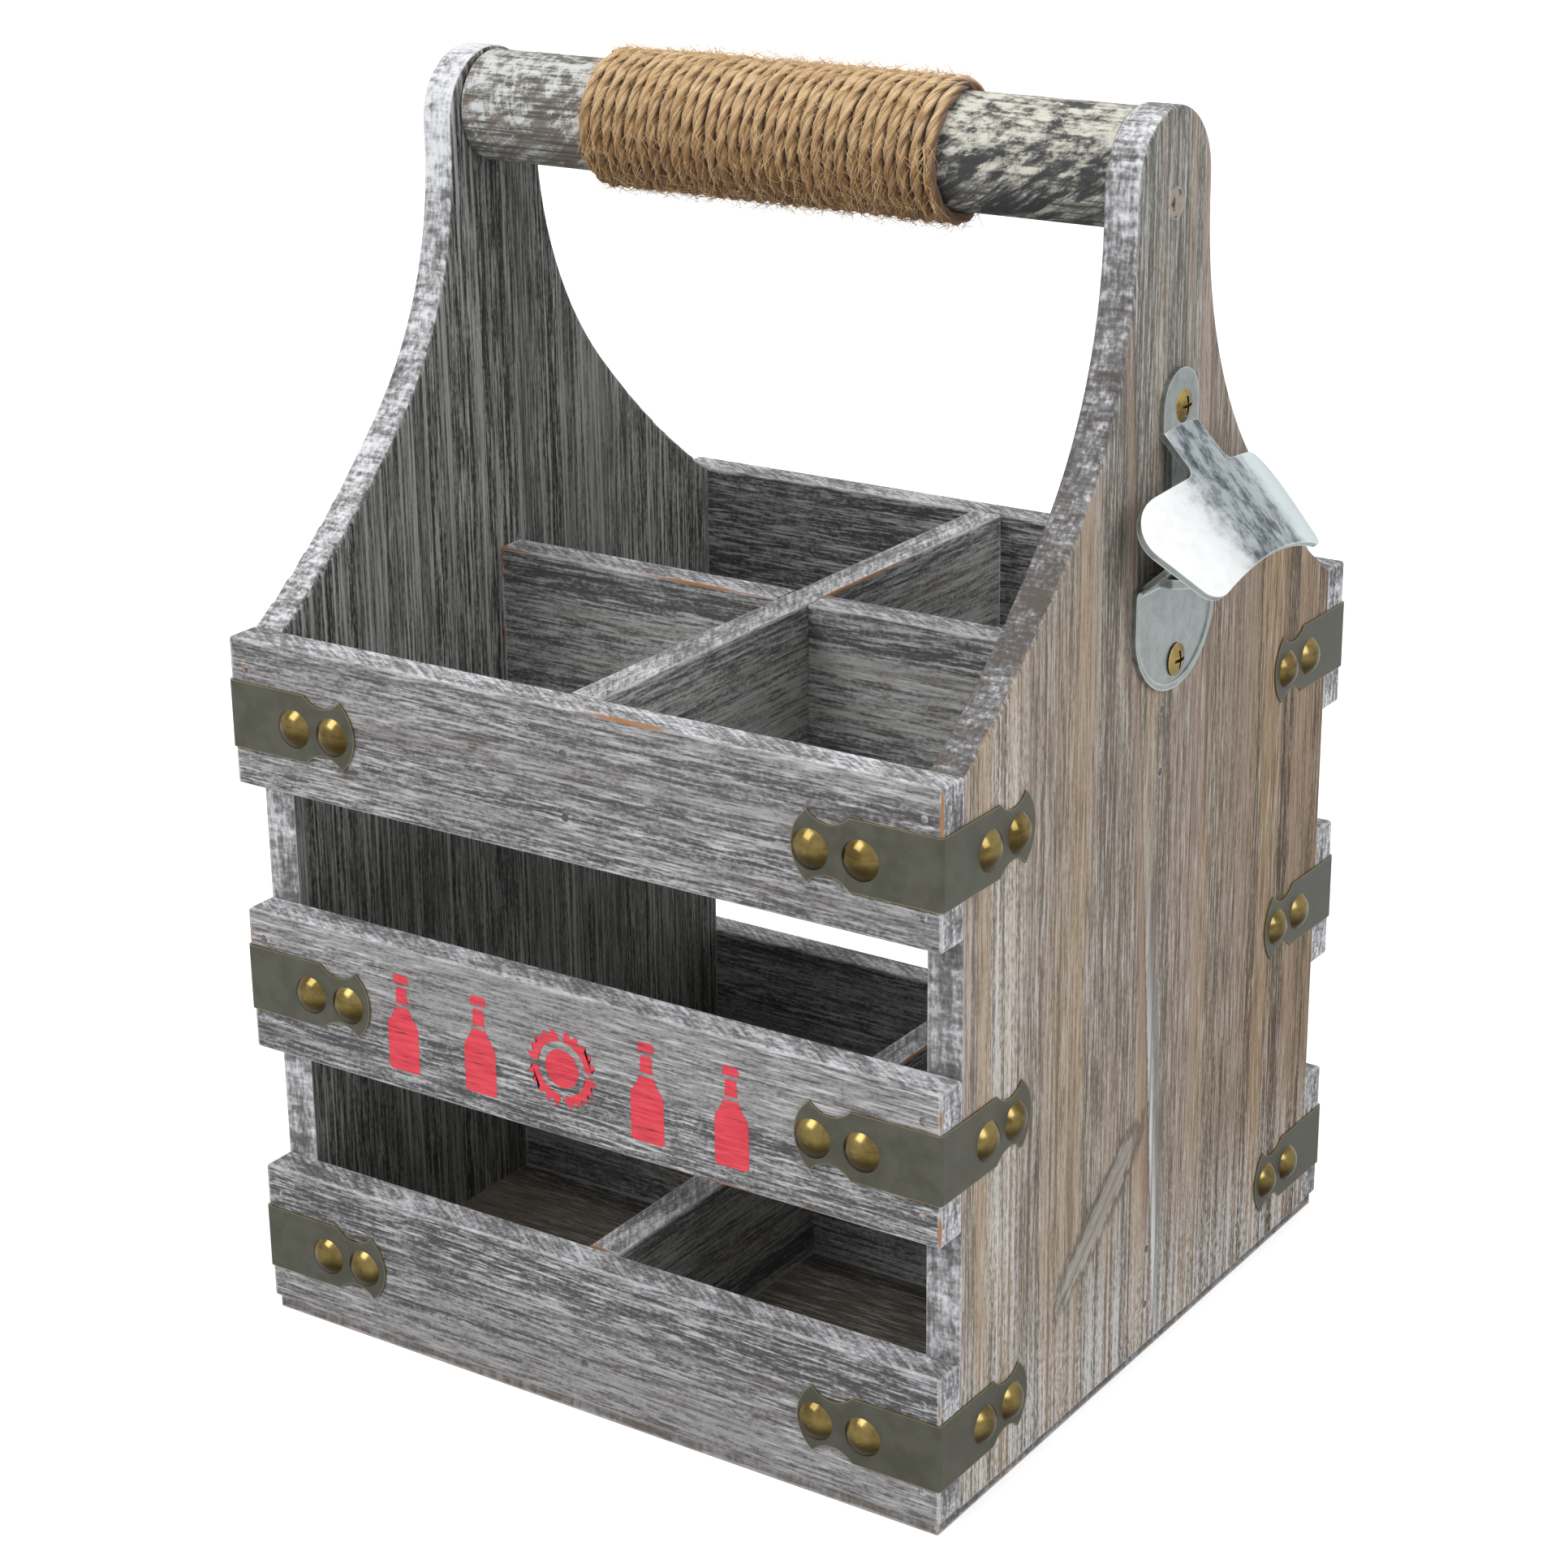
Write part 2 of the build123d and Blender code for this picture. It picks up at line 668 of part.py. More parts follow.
# The opener's screws: oval heads with a cross recess
for name, height in (("upper", upper_screw_height), ("lower", lower_screw_height)):
    with BuildPart() as opener_screw:
        with BuildSketch(Plane.XZ):
            with BuildLine():
                TangentArc((0, opener_screw_rise), (opener_screw_head_radius, 0), tangent=(1, 0))
                Polyline((opener_screw_head_radius, 0), (opener_screw_radius, -opener_sheet),
                         (opener_screw_radius, opener_screw_tip - opener_screw_length),
                         (0, -opener_screw_length), (0, opener_screw_rise))
            make_face()
        revolve(axis=Axis.Z)
        with BuildSketch(Plane.XY.offset(opener_screw_rise)):
            Rectangle(recess_length, recess_width)
            Rectangle(recess_width, recess_length)
        extrude(amount=-recess_depth, mode=Mode.SUBTRACT)
    with BuildPart() as placed_screw:
        with Locations(opener_screw_place(height)):
            add(opener_screw.part)
    save(placed_screw, "opener_" + name + "_screw")
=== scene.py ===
"""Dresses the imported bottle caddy: washed boards, brushed dowel, jute wrap, aged metal, zinc opener.

Metres, in the frame's own axes: X along the handle, Y from front to rear, Z up.
"""
import math
import random

import bmesh
import bpy
from mathutils import Matrix, Vector, noise


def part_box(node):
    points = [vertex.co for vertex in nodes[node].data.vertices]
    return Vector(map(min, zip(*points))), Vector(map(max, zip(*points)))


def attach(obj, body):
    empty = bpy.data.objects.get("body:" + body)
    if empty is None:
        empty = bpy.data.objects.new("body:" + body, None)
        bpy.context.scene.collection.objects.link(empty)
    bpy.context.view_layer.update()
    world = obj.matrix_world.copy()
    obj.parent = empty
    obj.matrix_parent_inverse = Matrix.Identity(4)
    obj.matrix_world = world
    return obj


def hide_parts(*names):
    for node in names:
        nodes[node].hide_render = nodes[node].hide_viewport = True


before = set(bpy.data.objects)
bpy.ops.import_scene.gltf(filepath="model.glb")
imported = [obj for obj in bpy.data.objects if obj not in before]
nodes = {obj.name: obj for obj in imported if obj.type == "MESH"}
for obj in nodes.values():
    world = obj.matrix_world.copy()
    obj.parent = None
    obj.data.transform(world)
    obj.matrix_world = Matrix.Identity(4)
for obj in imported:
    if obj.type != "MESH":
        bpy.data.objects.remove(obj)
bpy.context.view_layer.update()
MM = 0.001


def srgb(red, green, blue):
    """A colour read as the eye sees it, in Blender's linear values."""
    def linear(value):
        value /= 255
        return value / 12.92 if value <= 0.04045 else ((value + 0.055) / 1.055) ** 2.4
    return (linear(red), linear(green), linear(blue), 1.0)


class NodeSheet:
    """Adds nodes to one material or node group, with their inputs given by value or by link."""

    def __init__(self, tree):
        self.tree = tree

    def feed(self, socket, value):
        if isinstance(value, bpy.types.NodeSocket):
            self.tree.links.new(value, socket)
        else:
            socket.default_value = value

    def add(self, kind, inputs=None, **settings):
        node = self.tree.nodes.new(kind)
        for key, value in settings.items():
            setattr(node, key, value)
        for key, value in (inputs or {}).items():
            self.feed(node.inputs[key], value)
        return node

    def math(self, operation, first, second=0.0):
        return self.add("ShaderNodeMath", {0: first, 1: second}, operation=operation).outputs[0]

    def plus(self, first, second):
        return self.math("ADD", first, second)

    def minus(self, first, second):
        return self.math("SUBTRACT", first, second)

    def times(self, first, second):
        return self.math("MULTIPLY", first, second)

    def swing(self, value, gain, middle=0.5):
        """How far the value lies from a middle, times a gain."""
        return self.times(self.minus(value, middle), gain)

    def vector(self, operation, first, second):
        return self.add("ShaderNodeVectorMath", {0: first, 1: second}, operation=operation).outputs[0]

    def noise(self, place, stretch, detail=4.0, roughness=0.55, distortion=0.0):
        """Noise whose grain is stretched by a scale for each axis, in cells per metre."""
        stretched = self.vector("MULTIPLY", place, stretch)
        return self.add("ShaderNodeTexNoise", {"Vector": stretched, "Scale": 1.0, "Detail": detail,
                                               "Roughness": roughness,
                                               "Distortion": distortion}).outputs["Fac"]

    def span(self, value, low, high, to_low=0.0, to_high=1.0):
        """The value mapped from one span to another and held at its ends."""
        return self.add("ShaderNodeMapRange", {"Value": value, "From Min": low, "From Max": high,
                                               "To Min": to_low, "To Max": to_high},
                        interpolation_type="SMOOTHSTEP").outputs["Result"]

    def blend(self, share, first, second, how="MIX"):
        node = self.add("ShaderNodeMix", data_type="RGBA", blend_type=how)
        self.feed(node.inputs[0], share)
        self.feed(node.inputs[6], first)
        self.feed(node.inputs[7], second)
        return node.outputs[2]

    def group(self, tree, inputs):
        node = self.add("ShaderNodeGroup", node_tree=tree)
        for key, value in inputs.items():
            self.feed(node.inputs[key], value)
        return node.outputs


SOCKETS = {"vector": "NodeSocketVector", "number": "NodeSocketFloat", "colour": "NodeSocketColor"}


def new_group(name, inputs, outputs):
    """An empty node group with named sockets, and the sheet that fills it."""
    tree = bpy.data.node_groups.new(name, "ShaderNodeTree")
    for label, kind in inputs.items():
        tree.interface.new_socket(name=label, in_out="INPUT", socket_type=SOCKETS[kind])
    for label, kind in outputs.items():
        tree.interface.new_socket(name=label, in_out="OUTPUT", socket_type=SOCKETS[kind])
    sheet = NodeSheet(tree)
    start = sheet.add("NodeGroupInput").outputs
    end = sheet.add("NodeGroupOutput").inputs
    return tree, sheet, start, end


def make_rounded_arris():
    """Finds the arrises of a curved outline: 1 on them, 0 away from them."""
    tree, sheet, start, end = new_group("Rounded Arris", {"Radius": "number"}, {"Near": "number"})
    rounded = sheet.add("ShaderNodeBevel", {"Radius": start["Radius"]}, samples=6).outputs["Normal"]
    facing = sheet.add("ShaderNodeNewGeometry").outputs["Normal"]
    agreement = sheet.add("ShaderNodeVectorMath", {0: rounded, 1: facing}, operation="DOT_PRODUCT")
    turn = sheet.minus(1.0, agreement.outputs["Value"])
    sheet.feed(end["Near"], sheet.span(turn, 0.0, 0.2))
    return tree


def make_board_arris():
    """Finds the arrises of a straight board from its two corners: 1 on them, 0 away from them."""
    tree, sheet, start, end = new_group(
        "Board Arris", {"Spot": "vector", "Low": "vector", "High": "vector", "Reach": "number"},
        {"Near": "number"})
    inward = sheet.vector("MINIMUM", sheet.vector("SUBTRACT", start["Spot"], start["Low"]),
                          sheet.vector("SUBTRACT", start["High"], start["Spot"]))
    x, y, z = sheet.add("ShaderNodeSeparateXYZ", {0: inward}).outputs
    deepest = sheet.math("MAXIMUM", x, sheet.math("MAXIMUM", y, z))
    total = sheet.plus(x, sheet.plus(y, z))
    distance = sheet.minus(total, deepest)
    sheet.feed(end["Near"], sheet.span(distance, start["Reach"], 0.0))
    return tree


def make_edge_wear():
    """Breaks an arris up into a broad white rub and short bare places."""
    tree, sheet, start, end = new_group(
        "Edge Wear", {"Place": "vector", "Near": "number"}, {"Broad": "number", "Narrow": "number"})
    broken = sheet.noise(start["Place"], (90, 500, 500), 4.0, 0.6)
    patchy = sheet.noise(start["Place"], (20, 50, 50), 3.0, 0.5)
    broad = sheet.plus(start["Near"], sheet.swing(broken, 1.6))
    sheet.feed(end["Broad"], sheet.span(broad, 0.35, 0.9))
    narrow = sheet.plus(start["Near"], sheet.swing(patchy, 3.0, 0.6))
    sheet.feed(end["Narrow"], sheet.span(narrow, 0.62, 0.9))
    return tree


def make_board_grain():
    """Grain along the first axis of Place: bands, short dashes, strands, speckle, lines and patches."""
    tree, sheet, start, end = new_group(
        "Board Grain", {"Place": "vector"},
        {"Bands": "number", "Dashes": "number", "Strands": "number", "Speckle": "number",
         "Lines": "number", "Patches": "number"})
    sway = sheet.noise(start["Place"], (4, 8, 8), 2.0, 0.4)
    shift = sheet.swing(sway, 4 * MM)
    bent = sheet.vector("ADD", start["Place"],
                        sheet.add("ShaderNodeCombineXYZ", {"Y": shift, "Z": shift}).outputs[0])
    sheet.feed(end["Bands"], sheet.noise(bent, (1.6, 85, 85), 4.0, 0.6))
    sheet.feed(end["Dashes"], sheet.noise(bent, (95, 1350, 1350), 3.0, 0.66))
    sheet.feed(end["Strands"], sheet.noise(bent, (12, 760, 760), 4.0, 0.62))
    sheet.feed(end["Speckle"], sheet.noise(start["Place"], (700, 1150, 1150), 3.0, 0.65))
    ridge = sheet.noise(bent, (1.4, 95, 95), 2.0, 0.5)
    line = sheet.math("ABSOLUTE", sheet.minus(ridge, 0.5))
    broken = sheet.span(sheet.noise(bent, (18, 150, 150), 3.0, 0.6), 0.38, 0.6)
    sheet.feed(end["Lines"], sheet.times(sheet.span(line, 0.022, 0.003), broken))
    sheet.feed(end["Patches"], sheet.noise(start["Place"], (14, 34, 34), 3.0, 0.55))
    return tree


def make_washed_board(grain_group):
    """Brushed pine under a thin white wash: its colour, its roughness and the height of its grain."""
    tree, sheet, start, end = new_group(
        "Washed Board",
        {"Place": "vector", "Deep": "colour", "Pale": "colour", "Stain": "colour",
         "Stain Amount": "number", "Wash": "number", "Line Amount": "number", "Strand Share": "number"},
        {"Color": "colour", "Roughness": "number", "Height": "number"})
    grain = sheet.group(grain_group, {"Place": start["Place"]})
    short = sheet.plus(sheet.times(grain["Dashes"], 0.6), sheet.times(grain["Speckle"], 0.4))
    strand_share = start["Strand Share"]
    tone = sheet.plus(sheet.times(grain["Strands"], strand_share),
                      sheet.times(short, sheet.minus(1.0, strand_share)))
    tone = sheet.plus(tone, sheet.swing(grain["Bands"], 0.3))
    colour = sheet.blend(sheet.span(tone, 0.415, 0.6), start["Deep"], start["Pale"])
    stained = sheet.times(sheet.span(grain["Bands"], 0.44, 0.6), start["Stain Amount"])
    colour = sheet.blend(stained, colour, start["Stain"])
    # White left in the open fibres, more in some patches
    cover = sheet.times(sheet.span(grain["Dashes"], 0.52, 0.68),
                        sheet.span(grain["Patches"], 0.6, 0.4, 0.3, 1.0))
    cover = sheet.times(cover, start["Wash"])
    colour = sheet.blend(cover, colour, srgb(214, 215, 217))
    # Dark latewood lines and pores
    line_share = sheet.times(grain["Lines"], start["Line Amount"])
    colour = sheet.blend(line_share, colour, srgb(70, 62, 56))
    pores = sheet.times(sheet.span(grain["Dashes"], 0.42, 0.32), start["Line Amount"])
    colour = sheet.blend(pores, colour, srgb(72, 67, 65))
    sheet.feed(end["Color"], colour)
    sheet.feed(end["Roughness"], sheet.span(grain["Strands"], 0.3, 0.7, 0.72, 0.92))
    height = sheet.plus(sheet.times(grain["Dashes"], 0.6), sheet.times(grain["Speckle"], 0.3))
    sheet.feed(end["Height"], sheet.minus(height, sheet.times(grain["Lines"], 0.4)))
    return tree


def make_brushed_rim():
    """Sawn edges under a thicker wash: white over blue grey, crossed by slanted saw marks."""
    tree, sheet, start, end = new_group(
        "Brushed Rim", {"Place": "vector", "White": "number"}, {"Color": "colour", "Height": "number"})
    slanted = sheet.add("ShaderNodeMapping", {"Vector": start["Place"], "Rotation": (0.5, 0.6, 0.75)})
    saw = sheet.noise(slanted.outputs["Vector"], (70, 950, 170), 3.0, 0.6)
    brushed = sheet.noise(start["Place"], (60, 640, 640), 3.0, 0.6)
    blots = sheet.noise(start["Place"], (34, 90, 90), 5.0, 0.62)
    speck = sheet.noise(start["Place"], (700, 1000, 1000), 3.0, 0.6)
    mixed = sheet.plus(sheet.times(saw, 0.4), sheet.times(blots, 0.35))
    mixed = sheet.plus(mixed, sheet.times(brushed, 0.25))
    mixed = sheet.plus(mixed, sheet.swing(speck, 0.3))
    mixed = sheet.plus(mixed, sheet.times(start["White"], 0.1))
    colour = sheet.blend(sheet.span(mixed, 0.42, 0.66), srgb(106, 105, 106), srgb(222, 223, 227))
    colour = sheet.blend(sheet.span(mixed, 0.44, 0.36), colour, srgb(86, 80, 76))
    sheet.feed(end["Color"], colour)
    sheet.feed(end["Height"], sheet.plus(saw, sheet.times(speck, 0.5)))
    return tree


rounded_arris = make_rounded_arris()
board_arris = make_board_arris()
edge_wear = make_edge_wear()
board_grain = make_board_grain()
washed_board = make_washed_board(board_grain)
brushed_rim = make_brushed_rim()


def new_material(name):
    """A material with a bare Principled shader, and the sheet that fills it."""
    material = bpy.data.materials.new(name)
    material.use_nodes = True
    sheet = NodeSheet(material.node_tree)
    shader = material.node_tree.nodes["Principled BSDF"]
    return material, sheet, shader


def bump(sheet, shader, height, strength, distance):
    """Raises a material's surface by a height map."""
    normal = sheet.add("ShaderNodeBump", {"Height": height, "Strength": strength, "Distance": distance})
    sheet.feed(shader.inputs["Normal"], normal.outputs["Normal"])


def grain_place(sheet, along, offset, reach=1.0):
    """The object's own coordinates, turned so that the grain runs along their first axis."""
    place = sheet.add("ShaderNodeTexCoord").outputs["Object"]
    parts = sheet.add("ShaderNodeSeparateXYZ", {0: place}).outputs
    order = {"x": ("X", "Y", "Z"), "y": ("Y", "X", "Z"), "z": ("Z", "Y", "X")}[along]
    turned = sheet.add("ShaderNodeCombineXYZ", {label: parts[source]
                                                for label, source in zip("XYZ", order)}).outputs[0]
    turned = sheet.vector("MULTIPLY", turned, (1 / reach, 1.0, 1.0))
    return sheet.vector("ADD", turned, offset)


def facing_share(sheet, axis, low, high):
    """How far a face looks along an axis: 0 under the low bound, 1 over the high one."""
    normal = sheet.add("ShaderNodeTexCoord").outputs["Normal"]
    along = sheet.add("ShaderNodeVectorMath", {0: normal, 1: axis}, operation="DOT_PRODUCT")
    return sheet.span(along.outputs["Value"], low, high)


def rim_share(sheet, axis):
    """1 on a board's edges and 0 on its two faces, which look along the axis either way."""
    faces = sheet.plus(facing_share(sheet, axis, 0.55, 0.85), facing_share(sheet, axis, -0.55, -0.85))
    return sheet.minus(1.0, faces)


def panel_tint(sheet, inward, look):
    """An end panel's three tones: grey inside, outside brown with tan and pink bands, greyer on top."""
    place = sheet.add("ShaderNodeTexCoord").outputs["Object"]
    parts = sheet.add("ShaderNodeSeparateXYZ", {0: place}).outputs
    hue = sheet.noise(place, (60, 60, 1.2), 2.0, 0.5)
    outer_stain = sheet.blend(sheet.span(hue, 0.44, 0.56), srgb(160, 134, 104), srgb(150, 128, 118))
    rear = sheet.span(parts["Y"], -10 * MM, 75 * MM)
    top = sheet.span(parts["Z"], 200 * MM, 300 * MM)
    deep = sheet.blend(top, sheet.blend(rear, look["deep"], srgb(78, 65, 52)), srgb(96, 93, 87))
    pale = sheet.blend(top, sheet.blend(rear, look["pale"], srgb(144, 128, 108)), srgb(168, 166, 160))
    inside = facing_share(sheet, inward, 0.4, 0.7)
    return (sheet.blend(inside, deep, srgb(40, 40, 39)), sheet.blend(inside, pale, srgb(150, 151, 147)),
            sheet.blend(inside, outer_stain, srgb(66, 65, 62)))


# The buried branch near the foot of the right panel: its middle, its line, its half length and width
branch_y = -29 * MM
branch_z = 54 * MM
branch_run = 0.78
branch_rise = 0.62
branch_half_length = 27 * MM
branch_half_width = 6 * MM
branch_tilt = -1.15
# The glued joint of the right panel's two boards: where it meets the foot, and its lean for each metre up
joint_y = 5 * MM
joint_lean = 0.087


def branch_oval(sheet):
    """The buried branch: 0 at its middle and 1 on its ragged outline, and the height over its middle."""
    place = sheet.add("ShaderNodeTexCoord").outputs["Object"]
    parts = sheet.add("ShaderNodeSeparateXYZ", {0: place}).outputs
    y = sheet.minus(parts["Y"], branch_y)
    z = sheet.minus(parts["Z"], branch_z)
    along = sheet.plus(sheet.times(y, branch_run), sheet.times(z, branch_rise))
    across = sheet.minus(sheet.times(z, branch_run), sheet.times(y, branch_rise))
    oval = sheet.add("ShaderNodeCombineXYZ", {"X": sheet.math("DIVIDE", along, branch_half_length),
                                              "Y": sheet.math("DIVIDE", across, branch_half_width)})
    reach = sheet.add("ShaderNodeVectorMath", {0: oval.outputs[0]}, operation="LENGTH").outputs["Value"]
    ragged = sheet.noise(place, (330, 330, 70), 4.0, 0.65)
    return sheet.plus(reach, sheet.swing(ragged, 1.8)), z


def bent_by_branch(sheet, place):
    """Turns the grain into the line of the branch inside its outline."""
    reach, height = branch_oval(sheet)
    tilt = sheet.times(sheet.times(height, branch_tilt), sheet.span(reach, 1.03, 0.97))
    return sheet.vector("ADD", place, sheet.add("ShaderNodeCombineXYZ", {"Y": tilt}).outputs[0])


def marked_panel(sheet, grain, outside, colour):
    """Lays the glued joint of a panel's two boards and the outline of the branch over its colour."""
    place = sheet.add("ShaderNodeTexCoord").outputs["Object"]
    parts = sheet.add("ShaderNodeSeparateXYZ", {0: place}).outputs
    joint = sheet.plus(sheet.minus(parts["Y"], joint_y), sheet.times(parts["Z"], joint_lean))
    ragged = sheet.swing(grain["Speckle"], 2.5 * MM)
    from_joint = sheet.plus(joint, ragged)
    low_part = sheet.span(parts["Z"], 190 * MM, 90 * MM)
    # White at the joint and grey beyond it on the rear side, brown on the front side
    pale_strip = sheet.times(sheet.span(from_joint, 0.0, 0.6 * MM), sheet.span(from_joint, 9 * MM, 5 * MM))
    pale_strip = sheet.times(sheet.times(pale_strip, low_part), outside)
    pale_tone = sheet.blend(sheet.span(from_joint, 1.5 * MM, 4.5 * MM),
                            srgb(204, 207, 209), srgb(128, 126, 124))
    streaked = sheet.span(grain["Strands"], 0.38, 0.6, 0.3, 0.85)
    colour = sheet.blend(sheet.times(pale_strip, streaked), colour, pale_tone)
    brown_strip = sheet.times(sheet.span(from_joint, 0.0, -0.6 * MM),
                              sheet.span(from_joint, -6 * MM, -3 * MM))
    brown_strip = sheet.times(sheet.times(brown_strip, 0.5), outside)
    colour = sheet.blend(brown_strip, colour, srgb(142, 116, 102))
    line = sheet.times(sheet.span(sheet.math("ABSOLUTE", joint), 0.8 * MM, 0.2 * MM), 0.5)
    reach, _ = branch_oval(sheet)
    inside_branch = sheet.times(sheet.span(reach, 1.0, 0.4, 0.0, 0.4), outside)
    colour = sheet.blend(inside_branch, colour, srgb(150, 147, 144))
    from_outline = sheet.math("ABSOLUTE", sheet.minus(reach, 1.0))
    outline = sheet.span(from_outline, 0.3, 0.04, 0.0, 0.6)
    dark = sheet.math("MAXIMUM", line, outline)
    return sheet.blend(sheet.times(dark, outside), colour, srgb(84, 75, 68))


def wash_zone(sheet, grain):
    """White wash left along the foot and the front of an end panel."""
    place = sheet.add("ShaderNodeTexCoord").outputs["Object"]
    parts = sheet.add("ShaderNodeSeparateXYZ", {0: place}).outputs
    foot = sheet.span(parts["Z"], 62 * MM, 4 * MM)
    stripe = sheet.span(sheet.math("ABSOLUTE", sheet.plus(parts["Y"], 78 * MM)), 13 * MM, 3 * MM)
    stripe = sheet.times(stripe, sheet.span(parts["Z"], 235 * MM, 190 * MM))
    zone = sheet.math("MAXIMUM", foot, sheet.times(stripe, 0.75))
    fibres = sheet.plus(sheet.times(grain["Strands"], 0.6), sheet.times(grain["Speckle"], 0.4))
    return sheet.times(zone, sheet.span(fibres, 0.44, 0.6))


def board_material(node, along, offset, look, faces, reach=1.0, inward=None):
    """One board's washed pine. faces is the axis that its faces look along, inward a panel's inner side."""
    material, sheet, shader = new_material(node.replace("_", " "))
    place = grain_place(sheet, along, offset, reach)
    low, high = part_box(node)
    if inward:
        if look["branch"]:
            place = bent_by_branch(sheet, place)
        deep, pale, stain = panel_tint(sheet, inward, look)
        near = sheet.group(rounded_arris, {"Radius": 1.3 * MM})["Near"]
    else:
        deep, pale, stain = look["deep"], look["pale"], look["stain"]
        spot = sheet.add("ShaderNodeTexCoord").outputs["Object"]
        near = sheet.group(board_arris, {"Spot": spot, "Low": tuple(low), "High": tuple(high),
                                         "Reach": 1.6 * MM})["Near"]
    wood = sheet.group(washed_board, {"Place": place, "Deep": deep, "Pale": pale, "Stain": stain,
                                      "Stain Amount": look["stain_amount"], "Wash": look["wash"],
                                      "Line Amount": look["lines"], "Strand Share": look["strands"]})
    colour = wood["Color"]
    if inward:
        grain = sheet.group(board_grain, {"Place": place})
        outside = facing_share(sheet, inward, -0.4, -0.7)
        cover = sheet.times(wash_zone(sheet, grain), outside)
        if look["branch"]:
            colour = marked_panel(sheet, grain, outside, colour)
        colour = sheet.blend(sheet.times(cover, 0.78), colour, srgb(210, 211, 211))
        inner_wash = sheet.times(sheet.span(grain["Strands"], 0.52, 0.66),
                                 facing_share(sheet, inward, 0.4, 0.7))
        colour = sheet.blend(sheet.times(inner_wash, 0.6), colour, srgb(176, 177, 172))
    # A board's sawn rim, whiter low down in front and round the top of a neck
    own_place = sheet.add("ShaderNodeTexCoord").outputs["Object"]
    height = sheet.add("ShaderNodeSeparateXYZ", {0: own_place}).outputs["Z"]
    front_white = sheet.times(facing_share(sheet, toward_y, -0.6, -0.95), look["front_white"])
    front_white = sheet.times(front_white, sheet.span(height, 190 * MM, 160 * MM))
    neck_white = sheet.span(height, 290 * MM, 318 * MM)
    rim_white = sheet.plus(sheet.plus(front_white, neck_white), look["rim_white"])
    rim = sheet.group(brushed_rim, {"Place": place, "White": rim_white})
    share = sheet.times(rim_share(sheet, faces), look["rim"])
    colour = sheet.blend(share, colour, rim["Color"])
    # Worn arrises: white, and bare wood where the wash has gone
    wear = sheet.group(edge_wear, {"Place": place, "Near": near})
    colour = sheet.blend(sheet.times(wear["Broad"], look["edge"]), colour, srgb(212, 213, 215))
    colour = sheet.blend(sheet.times(wear["Narrow"], look["bare"]), colour, srgb(156, 104, 56))
    sheet.feed(shader.inputs["Base Color"], colour)
    sheet.feed(shader.inputs["Roughness"], wood["Roughness"])
    shader.inputs["Specular IOR Level"].default_value = 0.25
    rim_height = sheet.times(sheet.times(share, rim["Height"]), 0.5)
    bump(sheet, shader, sheet.plus(wood["Height"], rim_height), 0.5, 0.4 * MM)
    return material


# Each look's tones (deep, pale, stain) and shares: wash left in the fibres, white and bare wood on the
# arrises, dark lines, washed rim, and long strands against short dashes. rim_white and front_white make
# the rim whiter above 0, and branch lays on the joint and the branch.
front_slat = {"deep": srgb(76, 75, 76), "pale": srgb(166, 166, 167), "stain": srgb(118, 112, 108),
              "stain_amount": 0.35, "wash": 0.6, "edge": 0.5, "bare": 0.85, "lines": 0.5, "rim": 0.92,
              "rim_white": 0.0, "front_white": 0.0, "strands": 0.25}
left_panel = {"deep": srgb(104, 95, 85), "pale": srgb(172, 163, 151), "stain": srgb(150, 128, 106),
              "stain_amount": 0.5, "wash": 0.3, "edge": 0.4, "bare": 0.2, "lines": 0.5, "rim": 0.95,
              "rim_white": 0.15, "front_white": -0.1, "strands": 0.3, "branch": False}
right_panel = dict(left_panel, rim_white=-0.9, front_white=0.75, branch=True)
divider = {"deep": srgb(84, 84, 84), "pale": srgb(180, 181, 181), "stain": srgb(126, 118, 108),
           "stain_amount": 0.3, "wash": 0.5, "edge": 0.5, "bare": 0.9, "lines": 0.45, "rim": 0.85,
           "rim_white": 0.0, "front_white": 0.0, "strands": 0.35}
underside = {"deep": srgb(60, 57, 54), "pale": srgb(118, 113, 106), "stain": srgb(96, 82, 68),
             "stain_amount": 0.4, "wash": 0.3, "edge": 0.4, "bare": 0.3, "lines": 0.5, "rim": 0.3,
             "rim_white": 0.0, "front_white": 0.0, "strands": 0.4}
toward_x = (1.0, 0.0, 0.0)
toward_y = (0.0, 1.0, 0.0)
toward_z = (0.0, 0.0, 1.0)


def paint_node(node, material):
    """Gives a CAD node one material on all its slots."""
    mesh = nodes[node].data
    if not mesh.materials:
        mesh.materials.append(material)
    for index in range(len(mesh.materials)):
        mesh.materials[index] = material


slat_number = 0
for row in ("front", "rear"):
    for level in ("top", "middle", "bottom"):
        slat_number += 1
        offset = (0.37 * slat_number, 0.21 * slat_number, 0.13 * slat_number)
        slat_name = row + "_" + level + "_slat"
        paint_node(slat_name, board_material(slat_name, "x", offset, front_slat, toward_y))
for number, (side, look) in enumerate((("left", left_panel), ("right", right_panel))):
    offset = (0.9 + 0.4 * number, 0.3 + 0.7 * number, 0.11 * number)
    inward = (1.0 - 2.0 * number, 0.0, 0.0)
    panel_name = side + "_end_panel"
    paint_node(panel_name, board_material(panel_name, "z", offset, look, toward_x, 1.6, inward))
for number, level in enumerate(("upper", "lower")):
    offset = (1.3 + 0.6 * number, 0.5, 0.2 + 0.3 * number)
    divider_name = level + "_long_divider"
    paint_node(divider_name, board_material(divider_name, "x", offset, divider, toward_y))
    offset = (2.3 + 0.6 * number, 0.8, 0.6 + 0.3 * number)
    divider_name = level + "_cross_divider"
    paint_node(divider_name, board_material(divider_name, "y", offset, divider, toward_x))
paint_node("base_board", board_material("base_board", "x", (3.1, 0.4, 0.7), underside, toward_z))


